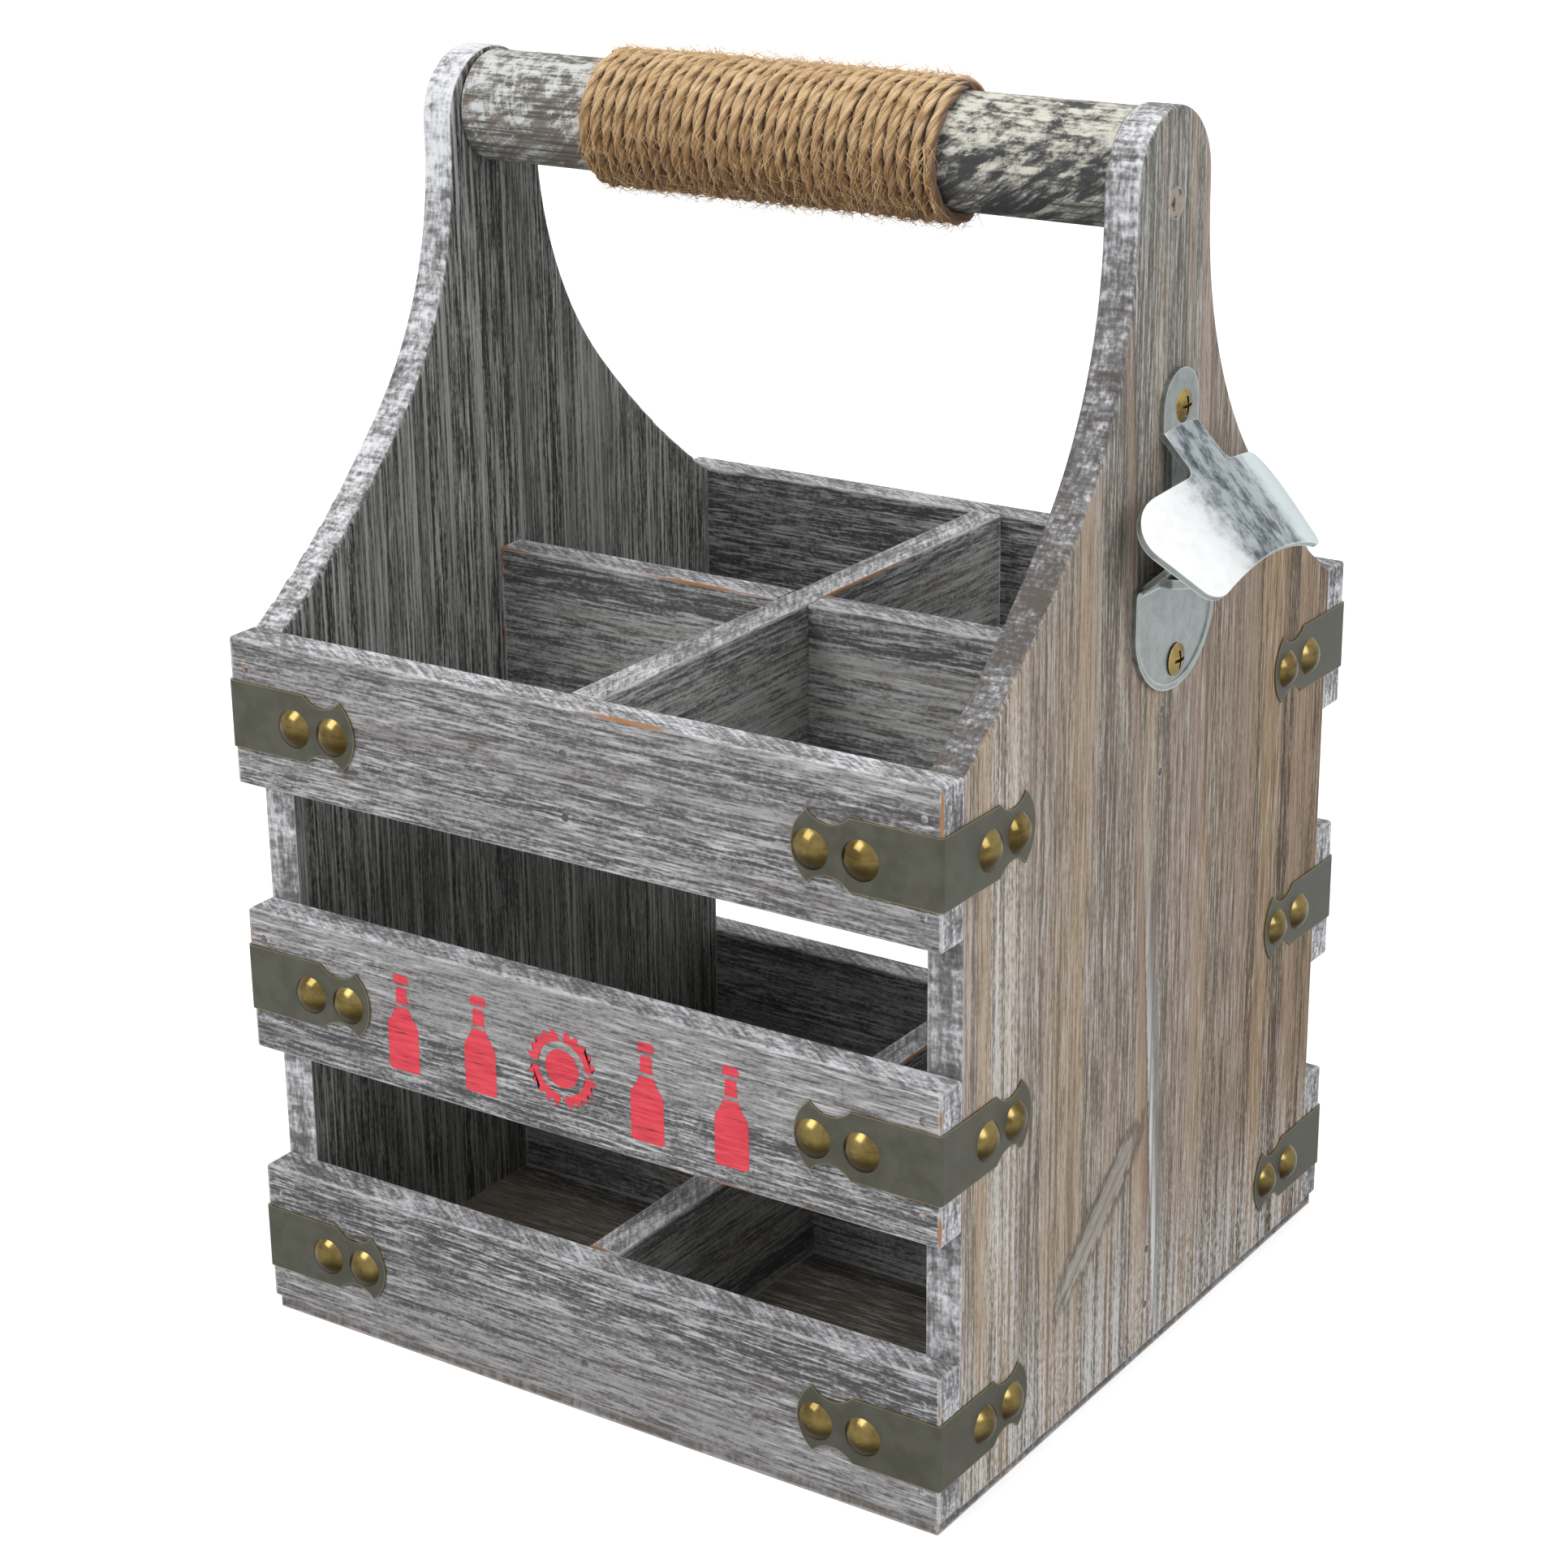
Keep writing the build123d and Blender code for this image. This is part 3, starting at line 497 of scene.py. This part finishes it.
def make_brushed_dowel():
    """Dry-brushed dowel: white strokes over grey on the left, cream and near-black on the right."""
    material, sheet, shader = new_material("brushed dowel")
    place = sheet.add("ShaderNodeTexCoord").outputs["Object"]
    along = sheet.add("ShaderNodeSeparateXYZ", {0: place}).outputs["X"]
    upward = facing_share(sheet, toward_z, -0.7, 0.8)
    right = sheet.span(along, -20 * MM, 30 * MM)
    brushed = sheet.add("ShaderNodeMapping", {"Vector": place, "Rotation": (0.0, 0.3, 0.2)})
    strokes = sheet.noise(brushed.outputs["Vector"], (800, 170, 170), 4.0, 0.65)
    grain = sheet.noise(place, (40, 900, 900), 4.0, 0.65)
    slanted = sheet.add("ShaderNodeMapping", {"Vector": place, "Rotation": (0.0, 0.5, 0.35)})
    blots = sheet.noise(slanted.outputs["Vector"], (28, 300, 300), 9.0, 0.72, 0.1)
    base = sheet.blend(sheet.span(grain, 0.36, 0.64), srgb(80, 78, 73), srgb(158, 156, 149))
    dark = sheet.blend(right, srgb(90, 77, 66), srgb(54, 55, 57))
    rough_grain = sheet.swing(grain, 0.4)
    dark_noise = sheet.plus(blots, rough_grain)
    dark_noise = sheet.plus(dark_noise, sheet.times(right, 0.03))
    dark_noise = sheet.minus(dark_noise, sheet.times(upward, 0.05))
    dark_share = sheet.times(sheet.span(dark_noise, 0.48, 0.56), sheet.span(right, 0.0, 1.0, 0.65, 0.95))
    colour = sheet.blend(dark_share, base, dark)
    stroke_share = sheet.span(right, 0.0, 1.0, 0.4, 0.15)
    cover_noise = sheet.times(sheet.minus(0.5, blots), 0.9)
    cover_noise = sheet.plus(cover_noise, sheet.swing(strokes, stroke_share))
    cover_noise = sheet.plus(cover_noise, sheet.times(rough_grain, 0.8))
    cover_noise = sheet.plus(cover_noise, sheet.times(upward, 0.11))
    cover = sheet.span(cover_noise, 0.01, 0.2)
    white = sheet.blend(right, srgb(208, 209, 209), srgb(214, 212, 198))
    colour = sheet.blend(sheet.times(cover, 0.85), colour, white)
    sheet.feed(shader.inputs["Base Color"], colour)
    sheet.feed(shader.inputs["Roughness"], sheet.span(strokes, 0.3, 0.7, 0.6, 0.85))
    shader.inputs["Specular IOR Level"].default_value = 0.3
    height = sheet.plus(sheet.times(grain, 0.6), sheet.times(cover, 0.5))
    bump(sheet, shader, height, 0.45, 0.4 * MM)
    return material


paint_node("handle_dowel", make_brushed_dowel())


def metal_material(name, base, tint, edge_colour, edge_share, rough, metallic, underside_shade=0.0):
    """Worn sheet metal: a faint mottle, a lighter rub along its edges and painted shade on its lower side.
    """
    material, sheet, shader = new_material(name)
    place = sheet.add("ShaderNodeTexCoord").outputs["Object"]
    mottle = sheet.noise(place, (130, 130, 130), 5.0, 0.6)
    fine = sheet.noise(place, (1300, 1300, 1300), 3.0, 0.6)
    near = sheet.group(rounded_arris, {"Radius": 0.6 * MM})["Near"]
    wear = sheet.group(edge_wear, {"Place": place, "Near": near})
    colour = sheet.blend(sheet.span(mottle, 0.35, 0.65), base, tint)
    # Painted shade: faces that look down darken towards dark brown, by the share given as the last argument
    if underside_shade:
        lower = sheet.times(facing_share(sheet, toward_z, 0.2, -0.3), underside_shade)
        colour = sheet.blend(lower, colour, srgb(54, 43, 22))
    colour = sheet.blend(sheet.times(wear["Broad"], edge_share), colour, edge_colour)
    sheet.feed(shader.inputs["Base Color"], colour)
    shader.inputs["Metallic"].default_value = metallic
    sheet.feed(shader.inputs["Roughness"], sheet.span(mottle, 0.3, 0.7, rough[0], rough[1]))
    height = sheet.plus(sheet.times(mottle, 0.4), sheet.times(fine, 0.12))
    bump(sheet, shader, height, 0.2, 0.12 * MM)
    return material


aged_sheet = metal_material("aged sheet metal", srgb(76, 76, 64), srgb(88, 88, 78), srgb(176, 158, 108),
                            0.8, (0.38, 0.48), 0.7)
# The brass nails and screws take painted shade on their lower sides, by their last argument
antique_brass = metal_material("antique brass", srgb(92, 78, 44), srgb(134, 117, 72),
                               srgb(140, 122, 76), 0.05, (0.14, 0.26), 1.0, 0.85)
brass_screw = metal_material("brass screw", srgb(112, 92, 50), srgb(168, 148, 92), srgb(196, 178, 126),
                             0.4, (0.2, 0.34), 1.0, 0.3)
dark_steel = metal_material("dark steel", srgb(46, 42, 38), srgb(84, 78, 72), srgb(120, 116, 110),
                            0.4, (0.4, 0.6), 0.8)
washed_steel = metal_material("steel under the wash", srgb(76, 73, 70), srgb(122, 119, 115),
                              srgb(160, 157, 152), 0.6, (0.5, 0.7), 0.4)


def make_zinc():
    """Zinc plate: painted reflection on the hood, bright wings and dark streaks down its middle, and a dull
    grey tab and shield.
    """
    material, sheet, shader = new_material("zinc sheet")
    place = sheet.add("ShaderNodeTexCoord").outputs["Object"]
    normal = sheet.add("ShaderNodeTexCoord").outputs["Normal"]
    parts = sheet.add("ShaderNodeSeparateXYZ", {0: normal}).outputs
    # Faces that look up and out from the wall: the hood, which takes painted reflection
    hood = sheet.times(sheet.span(parts["Z"], 0.35, 0.55), sheet.span(parts["X"], 0.3, 0.5))
    slope = sheet.add("ShaderNodeMapping", {"Vector": place, "Rotation": (0.0, 0.81, 0.0)})
    streaks = sheet.noise(slope.outputs["Vector"], (110, 210, 110), 8.0, 0.74, 0.15)
    cloud = sheet.noise(place, (230, 230, 230), 5.0, 0.65)
    fine = sheet.noise(place, (1500, 1500, 1500), 3.0, 0.6)
    # Painted reflection on the hood's arch, set by which way each face looks: a bright front wing, a dark
    # streaked middle and a bright rear wing
    front_wing_highlight = sheet.span(sheet.plus(parts["Y"], sheet.times(cloud, 0.22)), 0.06, -0.12)
    rear_wing_highlight = sheet.span(sheet.minus(parts["Y"], sheet.times(cloud, 0.16)), 0.04, 0.16)
    middle = sheet.blend(sheet.span(streaks, 0.38, 0.6), srgb(72, 80, 87), srgb(168, 178, 182))
    hood_reflection_colour = sheet.blend(rear_wing_highlight, middle, srgb(208, 220, 222))
    hood_reflection_colour = sheet.blend(front_wing_highlight, hood_reflection_colour, srgb(238, 241, 241))
    plate = sheet.blend(sheet.span(cloud, 0.3, 0.7), srgb(142, 149, 147), srgb(166, 172, 170))
    colour = sheet.blend(hood, plate, hood_reflection_colour)
    # Painted highlight: near-white along the sheet's rounded edges
    near = sheet.group(rounded_arris, {"Radius": 0.8 * MM})["Near"]
    colour = sheet.blend(sheet.times(near, 0.75), colour, srgb(226, 236, 235))
    sheet.feed(shader.inputs["Base Color"], colour)
    shader.inputs["Metallic"].default_value = 0.9
    sheet.feed(shader.inputs["Roughness"], sheet.span(cloud, 0.3, 0.7, 0.24, 0.38))
    bump(sheet, shader, sheet.plus(cloud, sheet.times(fine, 0.2)), 0.15, 0.12 * MM)
    return material


zinc_sheet = make_zinc()


def make_filler():
    """Pale filler pressed into a screw hole, pitted here and there."""
    material, sheet, shader = new_material("pitted filler")
    place = sheet.add("ShaderNodeTexCoord").outputs["Object"]
    pits = sheet.noise(place, (420, 420, 420), 4.0, 0.6)
    colour = sheet.blend(sheet.span(pits, 0.46, 0.36), srgb(150, 140, 128), srgb(62, 56, 50))
    sheet.feed(shader.inputs["Base Color"], colour)
    shader.inputs["Roughness"].default_value = 0.9
    bump(sheet, shader, pits, 0.6, 0.5 * MM)
    return material


filler = make_filler()
for side in ("left", "right"):
    paint_node(side + "_screw_filler", filler)
    paint_node(side + "_handle_screw", dark_steel)
for row in ("front", "rear"):
    brads = row + "_slat_brads"
    paint_node(brads, board_material(brads, "x", (0.5, 0.3, 0.1), front_slat, toward_y))
paint_node("base_brads", dark_steel)
paint_node("long_divider_brads", washed_steel)
paint_node("cross_divider_brads", washed_steel)
for row in ("front", "rear"):
    for side in ("left", "right"):
        for level in ("top", "middle", "bottom"):
            bracket = row + "_" + side + "_" + level + "_bracket"
            paint_node(bracket, aged_sheet)
            paint_node(bracket + "_nails", antique_brass)
paint_node("bottle_opener", zinc_sheet)
paint_node("opener_upper_screw", brass_screw)
paint_node("opener_lower_screw", brass_screw)

# Rope wrap: close turns of a three-strand twisted rope, with loose fibres. Its ends lie a little inside
# the CAD's wrap, and hand winding lets it wander along the dowel and lift off it.
dowel_low, dowel_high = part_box("handle_dowel")
wrap_low, wrap_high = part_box("handle_rope_wrap")
dowel_axis_height = (dowel_low[2] + dowel_high[2]) / 2
dowel_radius = (dowel_high[2] - dowel_low[2]) / 2
rope_inset = 2.2 * MM
rope_start = wrap_low[0] + rope_inset
rope_end = wrap_high[0] - rope_inset
rope_half = 1.8 * MM
rope_turns = 30
lay_length = 21 * MM
strand_offset = 0.7 * MM
strand_radius = 1.1 * MM
strand_swell = 0.22
rope_wander = 0.48 * MM
rope_lift = 0.3 * MM
rope_tuck = 0.5 * MM
# Reaches from the dowel's axis over which painted shade darkens the rope's furrows between turns and
# strands
furrow_shade_top = dowel_radius + 3.1 * MM
furrow_shade_foot = dowel_radius + 1.9 * MM
fibre_radius = 0.06 * MM
fibre_count = 5600
rings_per_turn = 100
strand_sides = 8


def rope_centre(turn):
    """The middle of the rope after so many turns; its two ends tuck in towards the dowel."""
    angle = 2 * math.pi * turn
    wander = rope_wander * noise.noise(Vector((turn * 1.7, 3.1, 0.4)))
    lift = rope_lift * noise.noise(Vector((turn * 2.3, 7.7, 1.9)))
    end_turns = min(turn, rope_turns - turn)
    tuck = -rope_tuck * max(0.0, 1.0 - end_turns / 0.5)
    radius = dowel_radius + rope_half + lift + tuck
    along = rope_start + (rope_end - rope_start) * turn / rope_turns + wander
    return Vector((along, radius * math.sin(angle), dowel_axis_height + radius * math.cos(angle)))


def outward(point):
    """The way out from the dowel's axis through a point."""
    away = Vector((0, point.y, point.z - dowel_axis_height))
    return away.normalized()


def make_rope():
    """The rope's three strands as one mesh, with a UV map that runs along each strand."""
    mesh = bmesh.new()
    uv = mesh.loops.layers.uv.new("strand")
    count = rope_turns * rings_per_turn
    centres = [rope_centre(index / rings_per_turn) for index in range(count + 1)]
    lengths = [0.0]
    for before, after in zip(centres, centres[1:]):
        lengths.append(lengths[-1] + (after - before).length)
    for strand in range(3):
        rings = []
        for index, centre in enumerate(centres):
            ahead = centres[min(index + 1, count)] - centres[max(index - 1, 0)]
            tangent = ahead.normalized()
            out = outward(centre)
            side = tangent.cross(out).normalized()
            turn = 2 * math.pi * (lengths[index] / lay_length + strand / 3)
            end_share = min(1.0, min(index, count - index) / (0.06 * rings_per_turn))
            swell = 1 + strand_swell * noise.noise(Vector((lengths[index] * 140, strand * 5.3, 0.7)))
            radius = strand_radius * swell * (0.35 + 0.65 * end_share)
            middle = centre + (out * math.cos(turn) + side * math.sin(turn)) * strand_offset
            ring = []
            for corner in range(strand_sides):
                angle = 2 * math.pi * corner / strand_sides + turn
                spoke = out * math.cos(angle) + side * math.sin(angle)
                ring.append(mesh.verts.new(middle + spoke * radius))
            rings.append(ring)
        for index in range(count):
            for corner in range(strand_sides):
                following = (corner + 1) % strand_sides
                face = mesh.faces.new((rings[index][corner], rings[index][following],
                                       rings[index + 1][following], rings[index + 1][corner]))
                face.smooth = True
                places = ((index, corner), (index, corner + 1),
                          (index + 1, corner + 1), (index + 1, corner))
                for loop, (ring, around) in zip(face.loops, places):
                    loop[uv].uv = (lengths[ring] + strand * 7.0, around / strand_sides)
        mesh.faces.new(list(reversed(rings[0])))
        mesh.faces.new(rings[-1])
    bmesh.ops.recalc_face_normals(mesh, faces=mesh.faces)
    data = bpy.data.meshes.new("handle_rope")
    mesh.to_mesh(data)
    mesh.free()
    rope = bpy.data.objects.new("handle_rope", data)
    bpy.context.scene.collection.objects.link(rope)
    return rope


def make_jute():
    """Jute: fibres that run along the strand; painted light makes them golden on top and brown below, and
    painted shade darkens the furrows.
    """
    material, sheet, shader = new_material("jute")
    uv = sheet.add("ShaderNodeUVMap", uv_map="strand").outputs["UV"]
    fibres = sheet.noise(uv, (130, 15, 1), 5.0, 0.72, 0.4)
    fine = sheet.noise(uv, (420, 40, 1), 5.0, 0.75, 0.3)
    place = sheet.add("ShaderNodeTexCoord").outputs["Object"]
    patches = sheet.noise(place, (120, 120, 120), 4.0, 0.6)
    # Painted light: faces that look up are golden and light, faces that look down brown and dark, in the
    # rope and its pale fibres
    upward = facing_share(sheet, toward_z, -0.5, 0.9)
    deep = sheet.blend(upward, srgb(84, 54, 24), srgb(204, 158, 106))
    pale = sheet.blend(upward, srgb(180, 130, 66), srgb(255, 228, 180))
    colour = sheet.blend(sheet.span(fibres, 0.34, 0.64), deep, pale)
    loose = sheet.blend(upward, srgb(214, 170, 104), srgb(253, 232, 190))
    colour = sheet.blend(sheet.span(fine, 0.54, 0.7, 0.0, 0.6), colour, loose)
    colour = sheet.blend(sheet.span(patches, 0.56, 0.7, 0.0, 0.35), colour, srgb(122, 82, 48))
    colour = sheet.blend(sheet.span(fibres, 0.44, 0.34, 0.0, 0.75), colour, srgb(92, 56, 24))
    # Painted shade: the rope is darker the nearer a point lies to the dowel's axis, down in the furrows
    parts = sheet.add("ShaderNodeSeparateXYZ", {0: place}).outputs
    drop = sheet.minus(parts["Z"], dowel_axis_height)
    from_axis = sheet.math("SQRT", sheet.plus(sheet.times(parts["Y"], parts["Y"]), sheet.times(drop, drop)))
    furrow_shade = sheet.span(from_axis, furrow_shade_top, furrow_shade_foot, 0.0, 0.8)
    colour = sheet.blend(furrow_shade, colour, srgb(98, 60, 28))
    sheet.feed(shader.inputs["Base Color"], colour)
    shader.inputs["Roughness"].default_value = 0.85
    shader.inputs["Sheen Weight"].default_value = 0.25
    shader.inputs["Sheen Roughness"].default_value = 0.5
    height = sheet.plus(fibres, sheet.times(fine, 0.6))
    bump(sheet, shader, height, 1.0, 0.5 * MM)
    return material


def make_loose_fibres(count):
    """Pale hairs that have come away from the rope, as one curve of many short splines."""
    picks = random.Random(11)
    curve = bpy.data.curves.new("rope_loose_fibres", "CURVE")
    curve.dimensions = "3D"
    curve.bevel_depth = fibre_radius
    curve.bevel_resolution = 0
    curve.resolution_u = 3
    for _ in range(count):
        turn = picks.uniform(0.2, rope_turns - 0.2)
        root = rope_centre(turn)
        out = outward(root)
        run = (rope_centre(turn + 0.01) - root).normalized()
        side = Vector((1, 0, 0))
        root = root + out * (rope_half - 0.3 * MM) + side * picks.uniform(-1, 1) * MM
        lean = run * picks.choice((-1, 1)) * picks.uniform(0.6, 1.0) + side * picks.uniform(-0.8, 0.8)
        lean = (lean + out * picks.uniform(0.05, 0.65)).normalized()
        length = picks.uniform(2.0, 7.0) * MM
        curl = (side * picks.uniform(-1, 1) + out * picks.uniform(-0.9, 0.5)) * length * 0.35
        spline = curve.splines.new("NURBS")
        spline.points.add(3)
        for index, point in enumerate(spline.points):
            share = index / 3
            place = root + lean * length * share + curl * share * share
            reach = (place - Vector((place.x, 0, dowel_axis_height))).length
            nearest = dowel_radius + 2 * rope_half - 0.2 * MM
            if reach < nearest:
                place += outward(place) * (nearest - reach)
            point.co = (*place, 1.0)
            point.radius = 1.0 - 0.6 * share
        spline.order_u = 3
        spline.use_endpoint_u = True
    fibres = bpy.data.objects.new("rope_loose_fibres", curve)
    bpy.context.scene.collection.objects.link(fibres)
    return fibres


def make_fibre_material():
    """The tone of the loose hairs, a little paler than the rope."""
    material, sheet, shader = new_material("loose jute fibre")
    place = sheet.add("ShaderNodeTexCoord").outputs["Object"]
    tone = sheet.noise(place, (300, 300, 300), 2.0, 0.5)
    colour = sheet.blend(sheet.span(tone, 0.35, 0.65), srgb(190, 148, 96), srgb(240, 210, 160))
    sheet.feed(shader.inputs["Base Color"], colour)
    shader.inputs["Roughness"].default_value = 0.8
    return material


rope = make_rope()
rope.data.materials.append(make_jute())
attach(rope, "root")
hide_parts("handle_rope_wrap")
loose_fibres = make_loose_fibres(fibre_count)
loose_fibres.data.materials.append(make_fibre_material())
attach(loose_fibres, "root")

# Red stencil of plain bottles and a crown cap on the front middle slat
slat_low, slat_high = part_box("front_middle_slat")
stencil_height = 28 * MM
stencil_base = (slat_low[2] + slat_high[2]) / 2 - stencil_height / 2 - 1 * MM
film_gap = 0.06 * MM
film_depth = slat_low[1] - film_gap
bottle_spots = (-57 * MM, -31 * MM, 23 * MM, 49 * MM)
cap_spot = -4 * MM
bridge = 1.1 * MM


def bottle_shapes():
    """One stencilled bottle as outlines about its own middle: body, neck and cap."""
    half = 5.2 * MM
    neck = 2.0 * MM
    shoulder = 12.5 * MM
    rise = 6.0 * MM
    corner = 0.8 * MM
    body = [(-half, corner), (-half + corner, 0), (half - corner, 0), (half, corner), (half, shoulder)]
    side = []
    for step in range(1, 9):
        share = step / 8
        side.append((half + (neck + 0.4 * MM - half) * (3 * share ** 2 - 2 * share ** 3),
                     shoulder + rise * share))
    body += side + [(-x, z) for x, z in reversed(side)] + [(-half, shoulder)]
    neck_base = shoulder + rise + bridge
    cap_base = stencil_height - 2.6 * MM
    neck_top = cap_base - bridge
    throat = [(-neck, neck_base), (neck, neck_base), (neck * 0.85, neck_top), (-neck * 0.85, neck_top)]
    cap = [(-neck - 0.6 * MM, cap_base), (neck + 0.6 * MM, cap_base),
           (neck + 0.2 * MM, stencil_height), (-neck - 0.2 * MM, stencil_height)]
    return [body, throat, cap]


def crown_shapes():
    """A stencilled crown cap seen from above: a toothed ring in four parts round a disc."""
    outer = 11 * MM
    tooth = 1.2 * MM
    ring_inner = 7.6 * MM
    disc = 5.4 * MM
    centre = stencil_height / 2
    shapes = []
    for quarter in range(4):
        start = math.pi / 2 * quarter + 0.09
        stop = math.pi / 2 * (quarter + 1) - 0.09
        rim = []
        for step in range(21):
            angle = start + (stop - start) * step / 20
            reach = outer - (tooth if step % 4 in (0, 1) else 0)
            rim.append((reach * math.cos(angle), centre + reach * math.sin(angle)))
        for step in range(20, -1, -1):
            angle = start + (stop - start) * step / 20
            rim.append((ring_inner * math.cos(angle), centre + ring_inner * math.sin(angle)))
        shapes.append(rim)
    shapes.append([(disc * math.cos(math.pi * step / 18), centre + disc * math.sin(math.pi * step / 18))
                   for step in range(36)])
    return shapes


def make_stencil():
    """All the figures as one flat mesh that faces forward, just clear of the slat."""
    mesh = bmesh.new()
    figures = [(spot, bottle_shapes()) for spot in bottle_spots] + [(cap_spot, crown_shapes())]
    for spot, shapes in figures:
        for shape in shapes:
            corners = [mesh.verts.new((spot + x, film_depth, stencil_base + z)) for x, z in shape]
            mesh.faces.new(corners)
    bmesh.ops.triangulate(mesh, faces=mesh.faces[:])
    for face in mesh.faces:
        if face.normal.y > 0:
            face.normal_flip()
    data = bpy.data.meshes.new("front_stencil")
    mesh.to_mesh(data)
    mesh.free()
    stencil = bpy.data.objects.new("front_stencil", data)
    bpy.context.scene.collection.objects.link(stencil)
    return stencil


def make_stencil_paint():
    """Flat red paint that the brushed grain shows through."""
    material, sheet, shader = new_material("stencil red")
    place = grain_place(sheet, "x", (0.74, 0.42, 0.26))
    grain = sheet.group(board_grain, {"Place": place})
    colour = sheet.blend(sheet.span(grain["Dashes"], 0.35, 0.65), srgb(196, 44, 60), srgb(222, 68, 82))
    sheet.feed(shader.inputs["Base Color"], colour)
    shader.inputs["Roughness"].default_value = 0.7
    gaps = sheet.span(grain["Dashes"], 0.3, 0.36)
    sheet.feed(shader.inputs["Alpha"], gaps)
    bump(sheet, shader, grain["Dashes"], 0.3, 0.3 * MM)
    return material


stencil = make_stencil()
stencil.data.materials.append(make_stencil_paint())
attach(stencil, "root")

# Camera at the photograph's viewing angle, for a frame of 1911 by 1932
camera_place = Vector((486.6, -731.9, 471.5)) * MM
camera_turn = math.radians(34.136)
camera_drop = math.radians(20.328)
camera_roll = math.radians(-0.752)
focal_pixels = 4169.05
frame_height_pixels = 1932
# The floor's half side, and the camera's white on it: from near the caddy to far out, in metres
floor_half = 6.0
glow_span = (0.5, 2.5)
glow_strength = (0.45, 0.7)


def make_camera():
    """The camera, set by its place and its turn, drop and roll."""
    data = bpy.data.cameras.new("studio camera")
    data.sensor_fit = "AUTO"
    data.sensor_width = 36.0
    data.lens = 36.0 * focal_pixels / frame_height_pixels
    data.clip_start = 0.01
    data.clip_end = 50.0
    camera = bpy.data.objects.new("studio camera", data)
    bpy.context.scene.collection.objects.link(camera)
    forward = Vector((-math.sin(camera_turn) * math.cos(camera_drop),
                      math.cos(camera_turn) * math.cos(camera_drop), -math.sin(camera_drop)))
    level_right = forward.cross(Vector((0, 0, 1))).normalized()
    level_up = level_right.cross(forward)
    right = level_right * math.cos(camera_roll) + level_up * math.sin(camera_roll)
    up = level_up * math.cos(camera_roll) - level_right * math.sin(camera_roll)
    turn = Matrix((right, up, -forward)).transposed()
    camera.matrix_world = Matrix.Translation(camera_place) @ turn.to_4x4()
    bpy.context.scene.camera = camera


def make_floor():
    """A wide pale floor that stays white to the camera and keeps the caddy's shadow."""
    corners = [(x * floor_half, y * floor_half, 0) for x, y in ((-1, -1), (1, -1), (1, 1), (-1, 1))]
    data = bpy.data.meshes.new("studio_floor")
    data.from_pydata(corners, [], [(0, 1, 2, 3)])
    floor = bpy.data.objects.new("studio_floor", data)
    bpy.context.scene.collection.objects.link(floor)
    material, sheet, shader = new_material("pale floor")
    shader.inputs["Base Color"].default_value = (0.86, 0.87, 0.88, 1)
    shader.inputs["Roughness"].default_value = 0.9
    shader.inputs["Specular IOR Level"].default_value = 0.1
    path = sheet.add("ShaderNodeLightPath").outputs
    shader.inputs["Emission Color"].default_value = (1, 1, 1, 1)
    place = sheet.add("ShaderNodeTexCoord").outputs["Object"]
    distance = sheet.add("ShaderNodeVectorMath", {0: place}, operation="LENGTH").outputs["Value"]
    glow = sheet.span(distance, *glow_span, *glow_strength)
    sheet.feed(shader.inputs["Emission Strength"], sheet.times(path["Is Camera Ray"], glow))
    data.materials.append(material)


def make_world():
    """White to the camera and in reflections, dimmer as light on the caddy."""
    world = bpy.data.worlds.new("studio")
    bpy.context.scene.world = world
    world.use_nodes = True
    sheet = NodeSheet(world.node_tree)
    background = world.node_tree.nodes["Background"]
    path = sheet.add("ShaderNodeLightPath").outputs
    background.inputs["Color"].default_value = (1, 1, 1, 1)
    seen = sheet.math("MAXIMUM", path["Is Camera Ray"],
                      sheet.math("MAXIMUM", path["Is Glossy Ray"], path["Is Transmission Ray"]))
    sheet.feed(background.inputs["Strength"], sheet.span(seen, 0.0, 1.0, 0.55, 1.0))


def make_lamp(name, place, aim, width, height, power):
    """One softbox: its place and aim in metres, its size, and its power in watts."""
    data = bpy.data.lights.new(name, "AREA")
    data.shape = "RECTANGLE"
    data.size = width
    data.size_y = height
    data.energy = power
    lamp = bpy.data.objects.new(name, data)
    lamp.location = place
    lamp.rotation_euler = (Vector(aim) - Vector(place)).to_track_quat("-Z", "Y").to_euler()
    bpy.context.scene.collection.objects.link(lamp)


make_camera()
make_floor()
make_world()
make_lamp("key softbox", (-0.9, -1.5, 1.7), (0, 0, 0.15), 1.2, 1.2, 26)
make_lamp("right softbox", (1.9, -0.3, 1.2), (0, 0, 0.15), 0.9, 1.2, 15)
make_lamp("top softbox", (0.1, 0.3, 2.0), (0, 0, 0.2), 1.4, 1.0, 10)

bpy.context.scene.view_settings.view_transform = "Standard"
